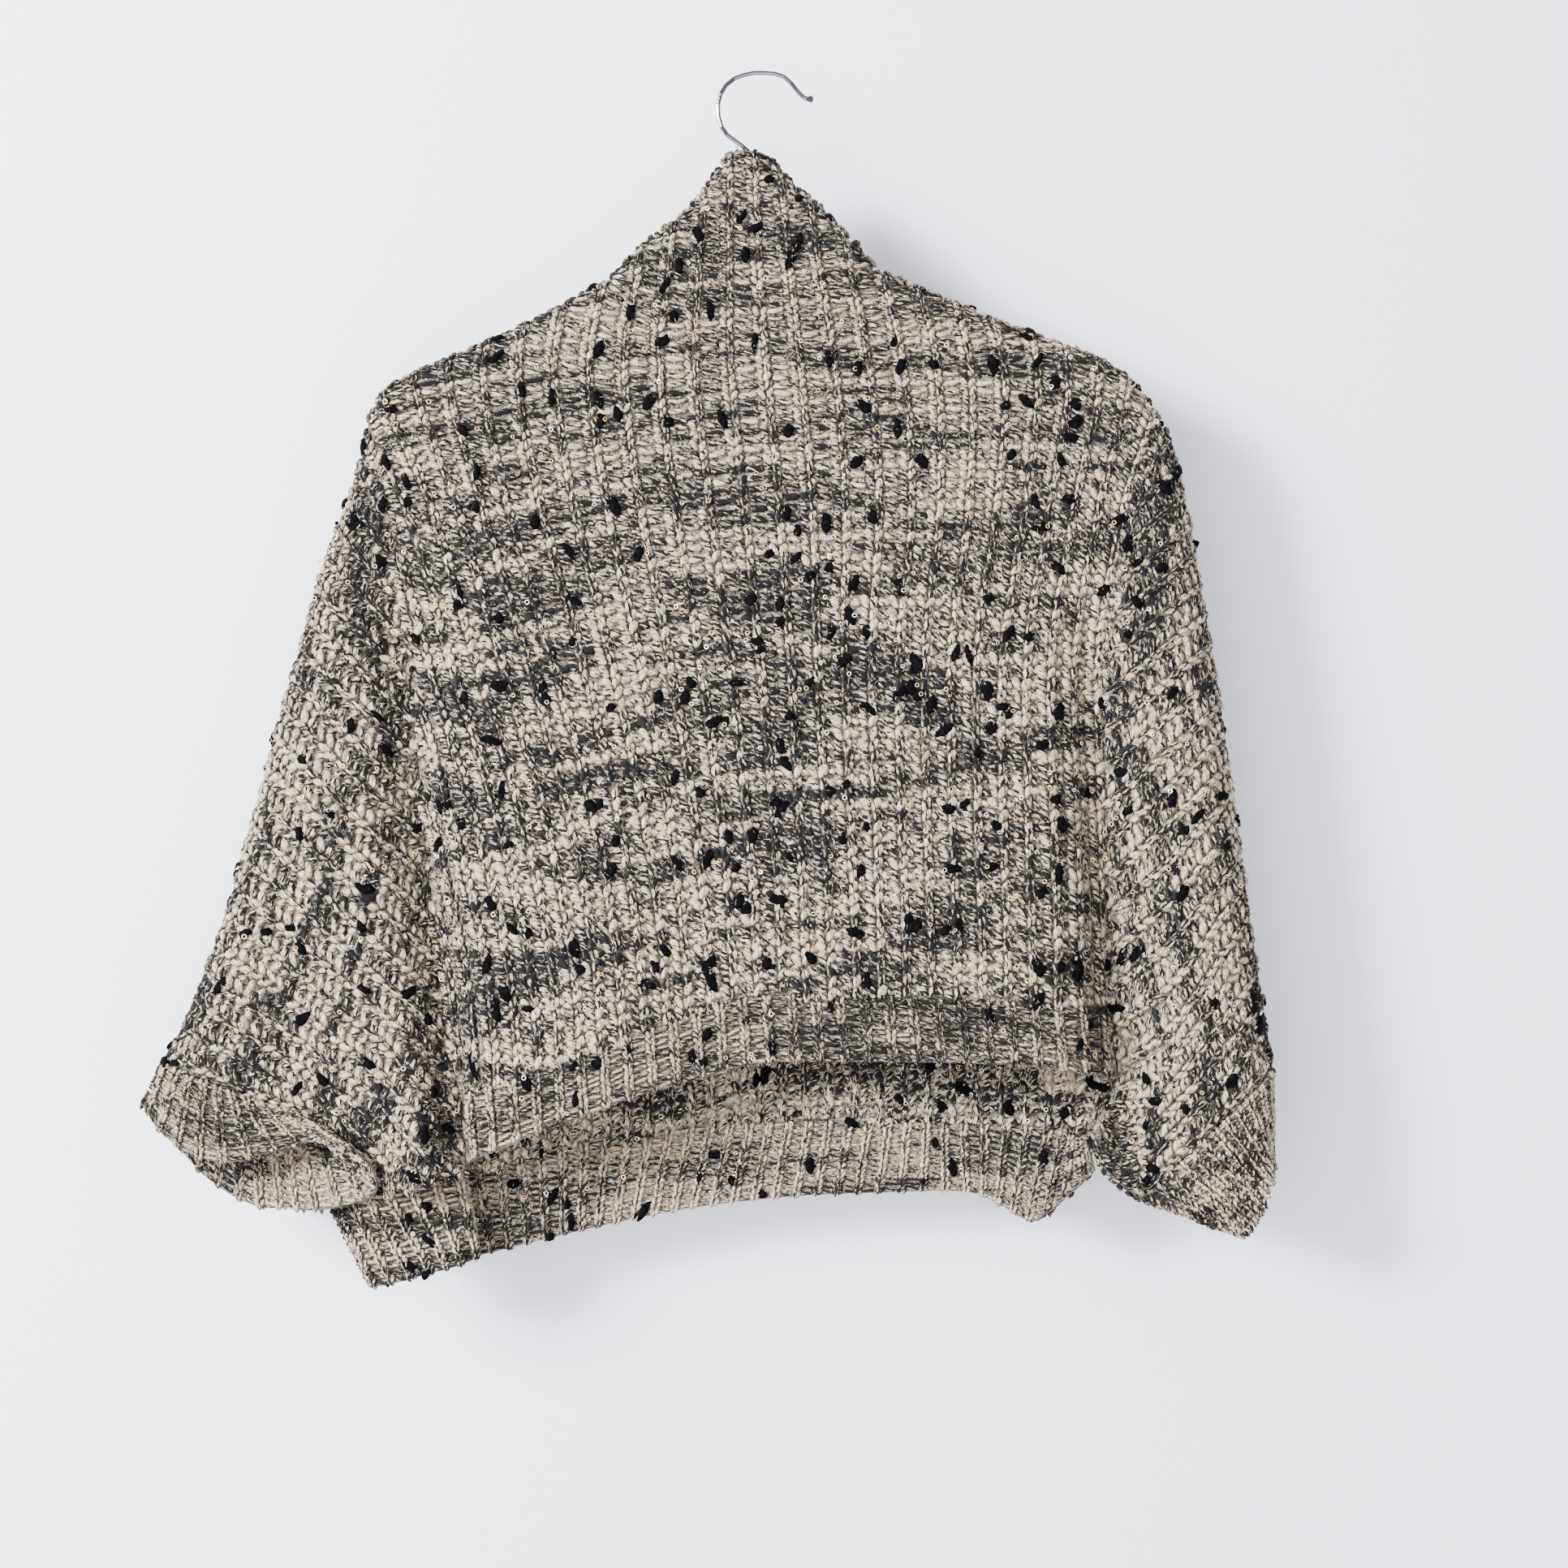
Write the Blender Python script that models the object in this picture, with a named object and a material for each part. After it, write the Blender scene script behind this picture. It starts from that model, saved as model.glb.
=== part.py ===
"""Chunky ribbed turtleneck sweater with batwing sleeves, hung on a shoulder hanger.

Lengths in the tables are millimetres. X runs to the right of the garment as it hangs seen from
the front, Y runs from the front to the back and Z runs up. The origin is the inner top of the
hanger's hook. Every panel is a knitted wall with its wales raised over a plain inside.
"""

import bpy
import numpy as np

MM = 0.001
WALL = 4.0  # knitted fabric between the gutters of the wales
WALE_RAISE = 1.3  # how far a wale of the panels stands out of its gutters
RIB_RAISE = 1.8  # the same for the ribs of the hem and cuffs
SEAM_GAP = 0.3  # space between two pieces that are sewn together
PANEL_WALES = 26
SLEEVE_WALES = 22
COLLAR_WALES = 20
FRONT_HEM_RIBS = 28
BACK_HEM_RIBS = 42
CUFF_RIBS = 16
CUFF_WALL = 2.6  # the cuffs are knitted thinner, and the left one folds tightly
STEEPEST_RAISE = 0.28  # most that a wale stands out, as a share of half its width
ON_EDGE = 0.8  # a point this close to a folded edge is taken to be on it
LEAST_ROUNDNESS = 0.03  # keeps the slope at a folded edge from growing without end
SLOPE_STEP = 0.5  # half the distance over which the slope of the full depth is read
FOLD_STOP = 2  # drawn points of an underarm fold that open out again at the hem

# Outlines of the garment as it hangs: x, z
OVERARM_LEFT = [
    (-219.0, -196.8), (-222.2, -214.8), (-227.3, -233.6), (-234.2, -252.0), (-241.5, -272.0),
    (-248.0, -290.8), (-257.2, -325.6), (-268.0, -362.4), (-277.5, -399.2), (-287.9, -436.0),
    (-298.0, -472.8), (-311.0, -509.6), (-323.9, -541.0), (-334.0, -557.9),
]
OVERARM_RIGHT = [
    (230.9, -196.8), (238.3, -214.8), (246.1, -252.0), (252.5, -288.8), (259.0, -325.6),
    (264.5, -362.4), (270.0, -399.2), (275.0, -436.0), (279.6, -472.8), (285.0, -509.6),
    (290.3, -544.1), (293.5, -561.2),
]
SHOULDER_LEFT = [
    (-219.0, -196.8), (-210.5, -180.5), (-192.0, -169.0), (-171.0, -160.0), (-131.0, -142.0),
    (-95.0, -123.5), (-81.9, -116.3),
]
SHOULDER_RIGHT = [
    (69.4, -110.4), (98.0, -123.0), (144.0, -142.0), (186.0, -157.0), (205.0, -167.0),
    (219.0, -179.0), (230.9, -196.8),
]
NECK_SLOPE_LEFT = [
    (-81.9, -116.3), (-62.1, -96.1), (-37.5, -76.4), (-24.9, -60.0), (-12.5, -43.5),
]
NECK_SLOPE_RIGHT = [(8.5, -46.0), (20.0, -59.8), (40.0, -77.4), (57.9, -96.1), (69.4, -110.4)]
NECK_BASE = [(-81.9, -116.3), (-40.0, -124.5), (-3.0, -127.0), (34.0, -122.0), (69.4, -110.4)]

# Deep folds where the body meets the hanging sleeves: x, z
CREASE_LEFT = [
    (-219.0, -196.8), (-211.5, -220.6), (-205.8, -248.6), (-200.6, -280.4), (-196.8, -311.0),
    (-193.5, -351.2), (-189.6, -395.1), (-183.1, -464.0), (-174.4, -532.8), (-166.6, -577.3),
]
CREASE_LEFT_END = [(-166.6, -577.3), (-164.0, -600.0), (-161.1, -622.3)]
CREASE_RIGHT = [
    (230.9, -196.8), (222.5, -218.0), (214.0, -245.0), (207.0, -275.0), (202.2, -305.0),
    (199.2, -340.0), (198.0, -380.0), (198.8, -441.0), (200.8, -490.0), (203.7, -530.1),
]
CREASE_RIGHT_END = [(203.7, -530.1), (205.3, -550.0), (206.1, -569.5)]
LOBE_SEAM_LEFT = [(-161.1, -622.3), (-178.1, -626.0), (-208.6, -632.6)]
LOBE_SEAM_RIGHT = [(206.1, -569.5), (199.5, -586.0), (190.4, -603.9)]
UNDERARM_LEFT = [(-208.6, -632.6), (-225.0, -613.0), (-244.3, -591.5)]
UNDERARM_RIGHT = [(190.4, -603.9), (196.4, -620.5), (206.5, -631.1), (215.7, -637.1)]

# Seams of the hem ribs and their bottom edges: x, z
RIB_SEAM_FRONT = [
    (-166.6, -577.3), (-148.2, -571.3), (-102.6, -556.8), (-57.5, -539.2), (-20.0, -526.0),
    (10.2, -520.0), (78.0, -521.2), (145.3, -523.9), (188.5, -527.5), (203.7, -530.1),
]
FRONT_HEM = [
    (-161.6, -616.4), (-153.4, -610.7), (-115.5, -594.5), (-65.5, -576.4), (-20.0, -563.8),
    (11.1, -557.7), (77.9, -556.9), (150.0, -559.0), (190.4, -565.0), (205.0, -569.3),
]
RIB_SEAM_BACK = [
    (-161.1, -622.3), (-120.0, -613.0), (-68.2, -602.3), (10.0, -595.7), (79.8, -595.1),
    (149.0, -597.8), (190.4, -603.9),
]
# The back hem band: the part that folds round the left side, then across the back.
# seam x, seam y, seam z, hem x, hem y, hem z
BACK_HEM_BAND = [
    (-161.1, -5.0, -622.3, -153.5, -3.0, -669.0),
    (-178.1, -11.0, -626.0, -164.0, -10.0, -673.0),
    (-208.6, -12.0, -632.6, -183.0, -14.0, -678.0),
    (-232.0, -8.0, -633.0, -205.0, -11.0, -684.0),
    (-244.3, 0.0, -635.0, -218.1, 0.0, -687.7),
    (-232.0, 9.0, -628.0, -205.0, 11.0, -684.0),
    (-208.6, 13.0, -632.6, -182.0, 16.0, -676.5),
    (-161.1, 17.0, -622.3, -152.7, 20.0, -670.3),
    (-120.0, 22.5, -613.0, -117.0, 23.0, -662.0),
    (-68.2, 23.0, -602.3, -76.0, 24.0, -652.5),
    (-20.0, 23.0, -597.5, -30.0, 24.0, -644.0),
    (30.0, 20.5, -595.2, 22.0, 22.5, -638.0),
    (79.8, 19.5, -595.1, 75.0, 21.5, -635.6),
    (120.0, 22.0, -596.5, 122.0, 22.0, -635.4),
    (149.0, 22.5, -597.8, 143.0, 19.0, -644.0),
    (172.0, 18.0, -600.8, 160.5, 12.0, -651.3),
    (184.0, 11.0, -602.9, 179.1, 5.0, -636.5),
    (190.4, 1.5, -603.9, 194.0, 0.0, -621.2),
]

# Half depths of the garment by level, before its edges are rounded and its folds are laid in.
# level z, front of the body, back of the body, front of a sleeve, back of a sleeve, edge radius
FULLNESS = [
    (-40.0, 12.5, 12.5, 12.5, 12.5, 11.0),
    (-90.0, 13.5, 13.0, 13.5, 13.0, 12.0),
    (-140.0, 12.5, 12.5, 12.5, 12.5, 13.0),
    (-190.0, 13.5, 13.0, 13.0, 13.0, 14.0),
    (-240.0, 16.5, 14.5, 16.0, 15.0, 19.0),
    (-300.0, 20.5, 16.5, 20.5, 18.0, 24.0),
    (-400.0, 25.5, 19.0, 25.0, 20.5, 27.0),
    (-500.0, 31.5, 21.5, 27.5, 21.5, 27.0),
    (-560.0, 35.5, 22.5, 25.5, 21.0, 24.0),
    (-600.0, 37.5, 23.0, 21.0, 19.0, 17.0),
    (-640.0, 38.0, 23.5, 17.0, 17.0, 11.0),
    (-690.0, 39.0, 24.0, 17.0, 17.0, 11.0),
]
BODY_HALF_WIDTH = 196.0
BODY_BLEND = 4.67  # how softly the body's depth goes over to a sleeve's at that distance

# Folds: front or back (-1, 1), then a row per point of its line: x, z, raise, half width
LEFT_CREASE_FOLD = (-1, [
    (-204.0, -262.0, 0.0, 20.0), (-198.0, -300.0, -9.0, 19.0), (-193.5, -351.0, -16.0, 18.0),
    (-189.6, -395.0, -20.0, 18.0), (-183.1, -464.0, -25.0, 18.0), (-174.4, -533.0, -27.5, 18.0),
    (-166.6, -577.0, -26.0, 17.0), (-160.0, -632.0, -22.0, 15.0),
])
RIGHT_CREASE_FOLD = (-1, [
    (197.0, -275.0, 0.0, 20.0), (193.6, -310.0, -9.0, 19.0), (194.1, -372.0, -17.0, 18.0),
    (198.8, -441.0, -22.0, 18.0), (203.7, -510.0, -25.0, 18.0), (205.5, -550.0, -26.0, 17.0),
    (205.0, -590.0, -22.0, 17.0),
])
FRONT_TROUGH_FOLD = (-1, [
    (-62.0, -440.0, 0.0, 22.0), (-45.0, -480.0, -4.5, 24.0), (-18.0, -530.0, -6.0, 25.0),
    (6.0, -570.0, -6.0, 24.0),
])
FRONT_RISE_FOLD = (-1, [
    (-95.0, -430.0, 0.0, 26.0), (-92.0, -500.0, 3.5, 28.0), (-88.0, -570.0, 4.5, 28.0),
])
LEFT_SLEEVE_FOLD = (-1, [
    (-255.0, -400.0, 0.0, 18.0), (-262.0, -470.0, -3.5, 18.0), (-262.0, -530.0, -5.0, 18.0),
    (-250.0, -575.0, -4.0, 16.0),
])
RIGHT_SLEEVE_FOLD = (-1, [
    (232.0, -400.0, 0.0, 16.0), (238.0, -480.0, 3.0, 18.0), (240.0, -560.0, 3.0, 18.0),
])
LEFT_BACK_FOLD = (1, [
    (-204.0, -262.0, 0.0, 24.0), (-192.0, -380.0, -8.0, 22.0), (-178.0, -500.0, -11.0, 22.0),
    (-166.0, -580.0, -10.0, 22.0), (-160.0, -640.0, -7.0, 20.0),
])
RIGHT_BACK_FOLD = (1, [
    (197.0, -275.0, 0.0, 24.0), (194.0, -380.0, -8.0, 22.0), (200.0, -500.0, -11.0, 22.0),
    (204.0, -560.0, -10.0, 22.0), (206.0, -600.0, -7.0, 20.0),
])
MIDDLE_BACK_FOLD = (1, [
    (40.0, -360.0, 0.0, 28.0), (52.0, -450.0, -4.5, 30.0), (60.0, -540.0, -5.5, 30.0),
    (64.0, -610.0, -4.5, 28.0),
])
FOLDS = [
    LEFT_CREASE_FOLD, RIGHT_CREASE_FOLD, FRONT_TROUGH_FOLD, FRONT_RISE_FOLD, LEFT_SLEEVE_FOLD,
    RIGHT_SLEEVE_FOLD, LEFT_BACK_FOLD, RIGHT_BACK_FOLD, MIDDLE_BACK_FOLD,
]
LEAST_DEPTH = 4.6

# Wales of a sleeve that end on the crease, then on the seam below it
LEFT_FAN = (18, 4)
RIGHT_FAN = (17, 5)
FIRST_WALE_DROP = 0.05  # share of the crease that the shoulder's own wale runs down
CORNER_ROW = 5  # row of a sleeve at the inner end of its cuff seam
BEND_START = 0.55  # share of the wales after which they bend towards the cuff seam
BEND_POWER = 1.5

# Open edges of the cuffs, once round from the overarm along the front: x, y, z
CUFF_EDGE_LEFT = [
    (-347.5, 0.0, -584.0), (-331.5, -13.0, -601.0), (-313.5, -19.0, -611.0),
    (-294.0, -21.0, -614.5), (-276.0, -20.0, -610.0), (-262.0, -19.0, -607.0),
    (-248.0, -21.0, -607.5), (-235.0, -23.0, -612.5), (-225.5, -23.0, -622.0),
    (-227.5, -20.0, -633.5), (-238.5, -16.5, -640.0), (-251.0, -8.0, -642.5),
    (-264.0, 4.0, -643.0),
    (-280.5, 12.0, -643.5), (-298.5, 15.0, -637.0), (-317.0, 13.0, -623.0),
    (-335.0, 8.0, -600.0),
]
CUFF_EDGE_RIGHT = [
    (293.0, 0.0, -608.5), (292.0, -14.0, -620.0), (289.0, -22.0, -632.0),
    (284.0, -20.0, -646.0), (277.0, 0.0, -658.0), (282.0, 20.0, -647.0),
    (287.5, 22.0, -633.0), (291.5, 14.0, -620.5),
]

# Shoulder hanger: x, top z, height, thickness
HANGER_SECTIONS = [
    (-207.0, -187.9, 13.0, 7.0), (-203.5, -183.5, 19.0, 9.0), (-192.0, -175.2, 24.0, 10.0),
    (-171.0, -165.0, 25.0, 10.0), (-131.0, -147.2, 25.0, 10.0), (-95.0, -130.0, 25.0, 10.0),
    (-50.0, -110.0, 26.0, 10.0), (-18.0, -98.5, 28.0, 11.0), (0.0, -96.0, 29.0, 11.5),
    (18.0, -98.0, 28.0, 11.0), (50.0, -107.3, 26.0, 10.0), (98.0, -128.4, 25.0, 10.0),
    (144.0, -147.3, 25.0, 10.0), (186.0, -162.8, 25.0, 10.0), (203.0, -172.3, 24.0, 10.0),
    (214.0, -183.0, 19.0, 9.0), (217.5, -187.5, 13.0, 7.0),
]
HANGER_SIDES = 12
BAR_ROUNDING = 0.8  # 1 is an ellipse, less is squarer
HOOK_BORE_DEPTH = 14.0
CUT_OVERRUN = 1.0  # how far the bore's cutter stands out of the bar
HOOK_RADIUS = 1.3
# Centre line of the hook from its ball end down to the bar: x, z, share of the wire's radius
HOOK_LINE = [
    (33.9, -13.4, 0.55), (33.2, -13.4, 1.3), (32.0, -13.5, 1.6), (30.9, -13.5, 1.3),
    (29.9, -13.3, 1.0), (28.0, -12.4, 1.0), (24.8, -9.2, 1.0), (21.2, -4.6, 1.0),
    (17.0, -0.9, 1.0), (12.0, 0.8, 1.0), (6.0, 1.3, 1.0), (0.0, 1.3, 1.0), (-6.0, 0.1, 1.0),
    (-11.2, -1.9, 1.0), (-15.8, -5.6, 1.0), (-18.9, -10.6, 1.0), (-20.4, -16.6, 1.0),
    (-20.2, -23.0, 1.0), (-18.3, -29.4, 1.0), (-15.2, -33.8, 1.0), (-11.0, -37.0, 1.0),
    (-6.4, -40.3, 1.0), (-2.8, -43.6, 1.0), (-0.8, -47.8, 1.0), (0.0, -53.0, 1.0),
    (0.0, -80.0, 1.0), (0.0, -107.0, 1.0),
]

# Spacing of the points across a piece, as shares of its length
PANEL_ROWS = [0.0, 0.008, 0.03, 0.075, 0.15, 0.23, 0.32, 0.43, 0.55, 0.68, 0.8, 0.91, 1.0]
SLEEVE_ROWS = [0.0, 0.03, 0.12, 0.28, 0.46, 0.65, 0.83, 1.0]
COLLAR_ROWS = [0.0, 0.16, 0.38, 0.68, 1.0]
RIB_ROWS = [0.0, 0.45, 1.0]

CLOTH_COLOUR = (0.604, 0.558, 0.484, 1.0)
RIB_COLOUR = (0.622, 0.578, 0.506, 1.0)
BAR_COLOUR = (0.045, 0.044, 0.046, 1.0)
STEEL_COLOUR = (0.62, 0.62, 0.63, 1.0)


def smooth_line(points, steps=8):
    """The table's points joined by a smooth curve, with a number of steps between two."""
    p = np.array(points, float)
    p = np.vstack([2 * p[0] - p[1], p, 2 * p[-1] - p[-2]])
    t = np.arange(steps)[:, None] / steps
    spans = [
        0.5 * (2 * b + (c - a) * t + (2 * a - 5 * b + 4 * c - d) * t**2 + (3 * b - a - 3 * c + d) * t**3)
        for a, b, c, d in zip(p[:-3], p[1:-2], p[2:-1], p[3:])
    ]
    return np.vstack(spans + [p[-2:-1]])


def at_shares(line, shares):
    """Points of a finely drawn line at shares of its length."""
    lengths = np.concatenate([[0.0], np.cumsum(np.linalg.norm(np.diff(line, axis=0), axis=1))])
    where = np.asarray(shares, float) * lengths[-1]
    return np.stack([np.interp(where, lengths, column) for column in line.T], axis=-1)


def joined(*tables):
    """Tables that follow on from each other, each drawn smoothly, as one line."""
    lines = [smooth_line(table) for table in tables]
    return np.vstack([lines[0]] + [line[1:] for line in lines[1:]])


# The folded edges, each run along with the garment on its right
CLOSED_EDGES = [
    joined(OVERARM_LEFT[::-1], SHOULDER_LEFT, NECK_SLOPE_LEFT),
    joined(NECK_SLOPE_RIGHT, SHOULDER_RIGHT, OVERARM_RIGHT),
    smooth_line(UNDERARM_LEFT)[FOLD_STOP:],
    smooth_line(UNDERARM_RIGHT[::-1])[:-FOLD_STOP],
]


def nearest(points, line):
    """Distance from each point to a line, the point of the line, and where along it that is."""
    a = line[:-1]
    step = line[1:] - a
    share = ((points[:, None] - a) * step).sum(-1) / (step**2).sum(-1)
    share = np.clip(share, 0.0, 1.0)
    foot = a + share[..., None] * step
    apart = np.linalg.norm(points[:, None] - foot, axis=-1)
    best = apart.argmin(axis=1)
    row = np.arange(len(points))
    return apart[row, best], foot[row, best], best + share[row, best]


def edge_distance(points):
    """Distance to the closest folded edge of the garment and the way that leads inwards."""
    apart = np.full(len(points), 1e9)
    inwards = np.zeros_like(points)
    for line in CLOSED_EDGES:
        distance, foot, where = nearest(points, line)
        steps = unit(np.gradient(line, axis=0))
        step = steps[np.minimum((where + 0.5).astype(int), len(line) - 1)]
        across = np.stack([step[:, 1], -step[:, 0]], axis=-1)
        away = np.where((distance < ON_EDGE)[:, None], across, unit(points - foot))
        closer = distance < apart
        apart[closer] = distance[closer]
        inwards[closer] = away[closer]
    return apart, inwards


def full_depth(points, side):
    """Half depth of the garment before its edges are rounded."""
    x, z = points.T
    table = np.array(FULLNESS)[::-1]
    column = 1 if side < 0 else 2
    body = np.interp(z, table[:, 0], table[:, column])
    sleeve = np.interp(z, table[:, 0], table[:, column + 2])
    outside = 1 / (1 + np.exp(-(np.abs(x) - BODY_HALF_WIDTH) / BODY_BLEND))
    depth = body + (sleeve - body) * outside
    for fold_side, rows in FOLDS:
        if fold_side != side:
            continue
        rows = np.array(rows)
        line = smooth_line(rows[:, :2], 4)
        distance, _, where = nearest(points, line)
        row_place = where * (len(rows) - 1) / (len(line) - 1)
        raised = np.interp(row_place, np.arange(len(rows)), rows[:, 2])
        width = np.interp(row_place, np.arange(len(rows)), rows[:, 3])
        depth = depth + raised * np.exp(-((distance / width) ** 2))
    return np.maximum(depth, LEAST_DEPTH)


def surface(points, side):
    """Outer points and outward normals of the garment's front (side -1) or back (side 1)."""
    flat = np.asarray(points, float).reshape(-1, 2)
    table = np.array(FULLNESS)[::-1]
    radius = np.interp(flat[:, 1], table[:, 0], table[:, 5])
    apart, inwards = edge_distance(flat)
    near = np.clip(apart / radius, 0.0, 1.0)
    roundness = np.sqrt(np.maximum(1 - (1 - near) ** 2, 0.0))
    depth = full_depth(flat, side)
    slope = (1 - near) / (radius * np.maximum(roundness, LEAST_ROUNDNESS)) * depth
    tilts = [
        full_depth(flat + step, side) - full_depth(flat - step, side)
        for step in (np.array([SLOPE_STEP, 0.0]), np.array([0.0, SLOPE_STEP]))
    ]
    tilt = np.stack(tilts, axis=-1) / (2 * SLOPE_STEP)
    leaning = inwards * slope[:, None] + tilt * roundness[:, None]
    place = np.stack([flat[:, 0], side * depth * roundness, flat[:, 1]], axis=-1)
    normal = np.stack([-leaning[:, 0], np.full(len(flat), float(side)), -leaning[:, 1]], axis=-1)
    shape = np.shape(points)[:-1] + (3,)
    return place.reshape(shape), unit(normal).reshape(shape)


def unit(vectors):
    return vectors / np.maximum(np.linalg.norm(vectors, axis=-1, keepdims=True), 1e-9)


def grid_normals(places, round_u, outwards):
    """Normals of a grid of points, all turned to the side that a reference point names."""
    if round_u:
        du = np.roll(places, -1, axis=0) - np.roll(places, 1, axis=0)
    else:
        du = np.gradient(places, axis=0)
    dv = np.gradient(places, axis=1)
    normal = unit(np.cross(du, dv))
    middle = places.shape[0] // 2, places.shape[1] // 2
    if (normal[middle] * outwards).sum() < 0:
        normal = -normal
    return normal


def in_plane(normal, axis):
    """The normals with one coordinate taken out, so that a rim stays in its plane."""
    flat = normal.copy()
    flat[..., axis] = 0.0
    return unit(flat)


def along_seam(where, normal):
    """The normals of a rim turned so that the wall's inner edge keeps to the seam's own line."""
    step = unit(np.gradient(where, axis=0))
    share = normal[:, 0] * step[:, 0] + normal[:, 2] * step[:, 1]
    return unit(np.stack([share * step[:, 0], normal[:, 1], share * step[:, 1]], axis=-1))


def make_object(name, points, faces, material):
    mesh = bpy.data.meshes.new(name)
    mesh.from_pydata((np.asarray(points) * MM).tolist(), [], faces)
    mesh.validate()
    mesh.materials.append(material)
    mesh.shade_smooth()
    item = bpy.data.objects.new(name, mesh)
    garment.objects.link(item)
    return item


def knit_wall(name, shape_at, wales, rows, material, raise_height, closed=False, wall=WALL):
    """A knitted wall: raised wales on the outside, a plain inside of half as many points.

    shape_at(u, rows) gives the places and normals of the outer face for shares u of the width.
    """
    outer_u = np.linspace(0.0, 1.0, 2 * wales + 1)
    inner_u = np.linspace(0.0, 1.0, wales + 1)
    if closed:
        outer_u = outer_u[:-1]
        inner_u = inner_u[:-1]
    outer, outer_normal = shape_at(outer_u, rows)
    inner, inner_normal = shape_at(inner_u, rows)
    pitch = np.linalg.norm(outer[1::2] - outer[0::2][: len(outer[1::2])], axis=-1)
    raised = np.minimum(raise_height, STEEPEST_RAISE * pitch)[..., None]
    outer = outer.copy()
    outer[1::2] += outer_normal[1::2] * raised
    inner = inner - inner_normal * wall
    n_out, n_v = outer.shape[:2]
    n_in = len(inner)
    points = np.vstack([outer.reshape(-1, 3), inner.reshape(-1, 3)])

    def out(i, j):
        return (i % n_out) * n_v + j

    def ins(i, j):
        return n_out * n_v + (i % n_in) * n_v + j

    faces = []
    for i in range(2 * wales):
        for j in range(n_v - 1):
            faces.append((out(i, j), out(i, j + 1), out(i + 1, j + 1), out(i + 1, j)))
    for i in range(wales):
        for j in range(n_v - 1):
            faces.append((ins(i, j), ins(i + 1, j), ins(i + 1, j + 1), ins(i, j + 1)))
    for i in range(wales):
        for j, turned in ((0, False), (n_v - 1, True)):
            a, b, c = out(2 * i, j), out(2 * i + 1, j), out(2 * i + 2, j)
            d, e = ins(i, j), ins(i + 1, j)
            rim = [(a, b, d), (b, e, d), (b, c, e)]
            faces += [face[::-1] for face in rim] if turned else rim
    if not closed:
        for j in range(n_v - 1):
            faces.append((out(0, j), ins(0, j), ins(0, j + 1), out(0, j + 1)))
            end, inner_end = 2 * wales, wales
            faces.append((out(end, j), out(end, j + 1), ins(inner_end, j + 1), ins(inner_end, j)))
    if signed_volume(points, faces) < 0:
        faces = [face[::-1] for face in faces]
    return make_object(name, points, faces, material)


def signed_volume(points, faces):
    """Six times the volume of a closed mesh, below zero where its faces point inwards."""
    total = 0.0
    for face in faces:
        for k in range(1, len(face) - 1):
            a, b, c = points[face[0]], points[face[k]], points[face[k + 1]]
            total += np.dot(a, np.cross(b, c))
    return total


def patch(top, bottom, left, right, u, v):
    """A sheet of (x, z) points between four lines that meet at its corners."""
    v_top, v_bottom = at_shares(top, u)[:, None], at_shares(bottom, u)[:, None]
    left_side, right_side = at_shares(left, v)[None], at_shares(right, v)[None]
    a, b = u[:, None, None], v[None, :, None]
    corners = (
        (1 - a) * (1 - b) * top[0] + a * (1 - b) * top[-1] + (1 - a) * b * bottom[0] + a * b * bottom[-1]
    )
    return (1 - b) * v_top + b * v_bottom + (1 - a) * left_side + a * right_side - corners


def body_panel(side, rib_seam, left_end, right_end):
    """The front or back: shoulder to shoulder across the top, crease to crease down the sides."""
    top = joined(SHOULDER_LEFT, NECK_BASE, SHOULDER_RIGHT)
    left = joined(CREASE_LEFT, *left_end)
    right = joined(CREASE_RIGHT, *right_end)
    bottom = smooth_line(rib_seam)

    def shape_at(u, rows):
        v = np.array(rows)
        where = patch(top, bottom, left, right, u, v)
        where = inset(where, SEAM_GAP / 2)
        places, normals = surface(where, side)
        on_shoulder = edge_distance(where[:, 0])[0] < 1.0
        places[on_shoulder, 0, 1] = side * SEAM_GAP / 2
        neck = along_seam(where[:, 0], normals[:, 0])
        normals[0] = along_seam(where[0], normals[0])
        normals[-1] = along_seam(where[-1], normals[-1])
        normals[:, -1] = along_seam(where[:, -1], normals[:, -1])
        normals[on_shoulder, 0] = in_plane(normals[on_shoulder, 0], 1)
        normals[~on_shoulder, 0] = neck[~on_shoulder]
        return places, normals

    return shape_at


def inset(where, gap):
    """Pulls the side columns and the bottom row of a sheet in from its seams."""
    where = where.copy()
    for row, inner in ((0, 1), (-1, -2)):
        along = unit(np.gradient(where[row], axis=0))
        across = np.stack([-along[:, 1], along[:, 0]], axis=-1)
        inwards = where[inner] - where[row]
        sign = np.sign((across * inwards).sum(-1))
        sign[sign == 0] = 1.0
        where[row] += across * sign[:, None] * gap
    where[:, -1, 1] += gap
    return where


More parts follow.
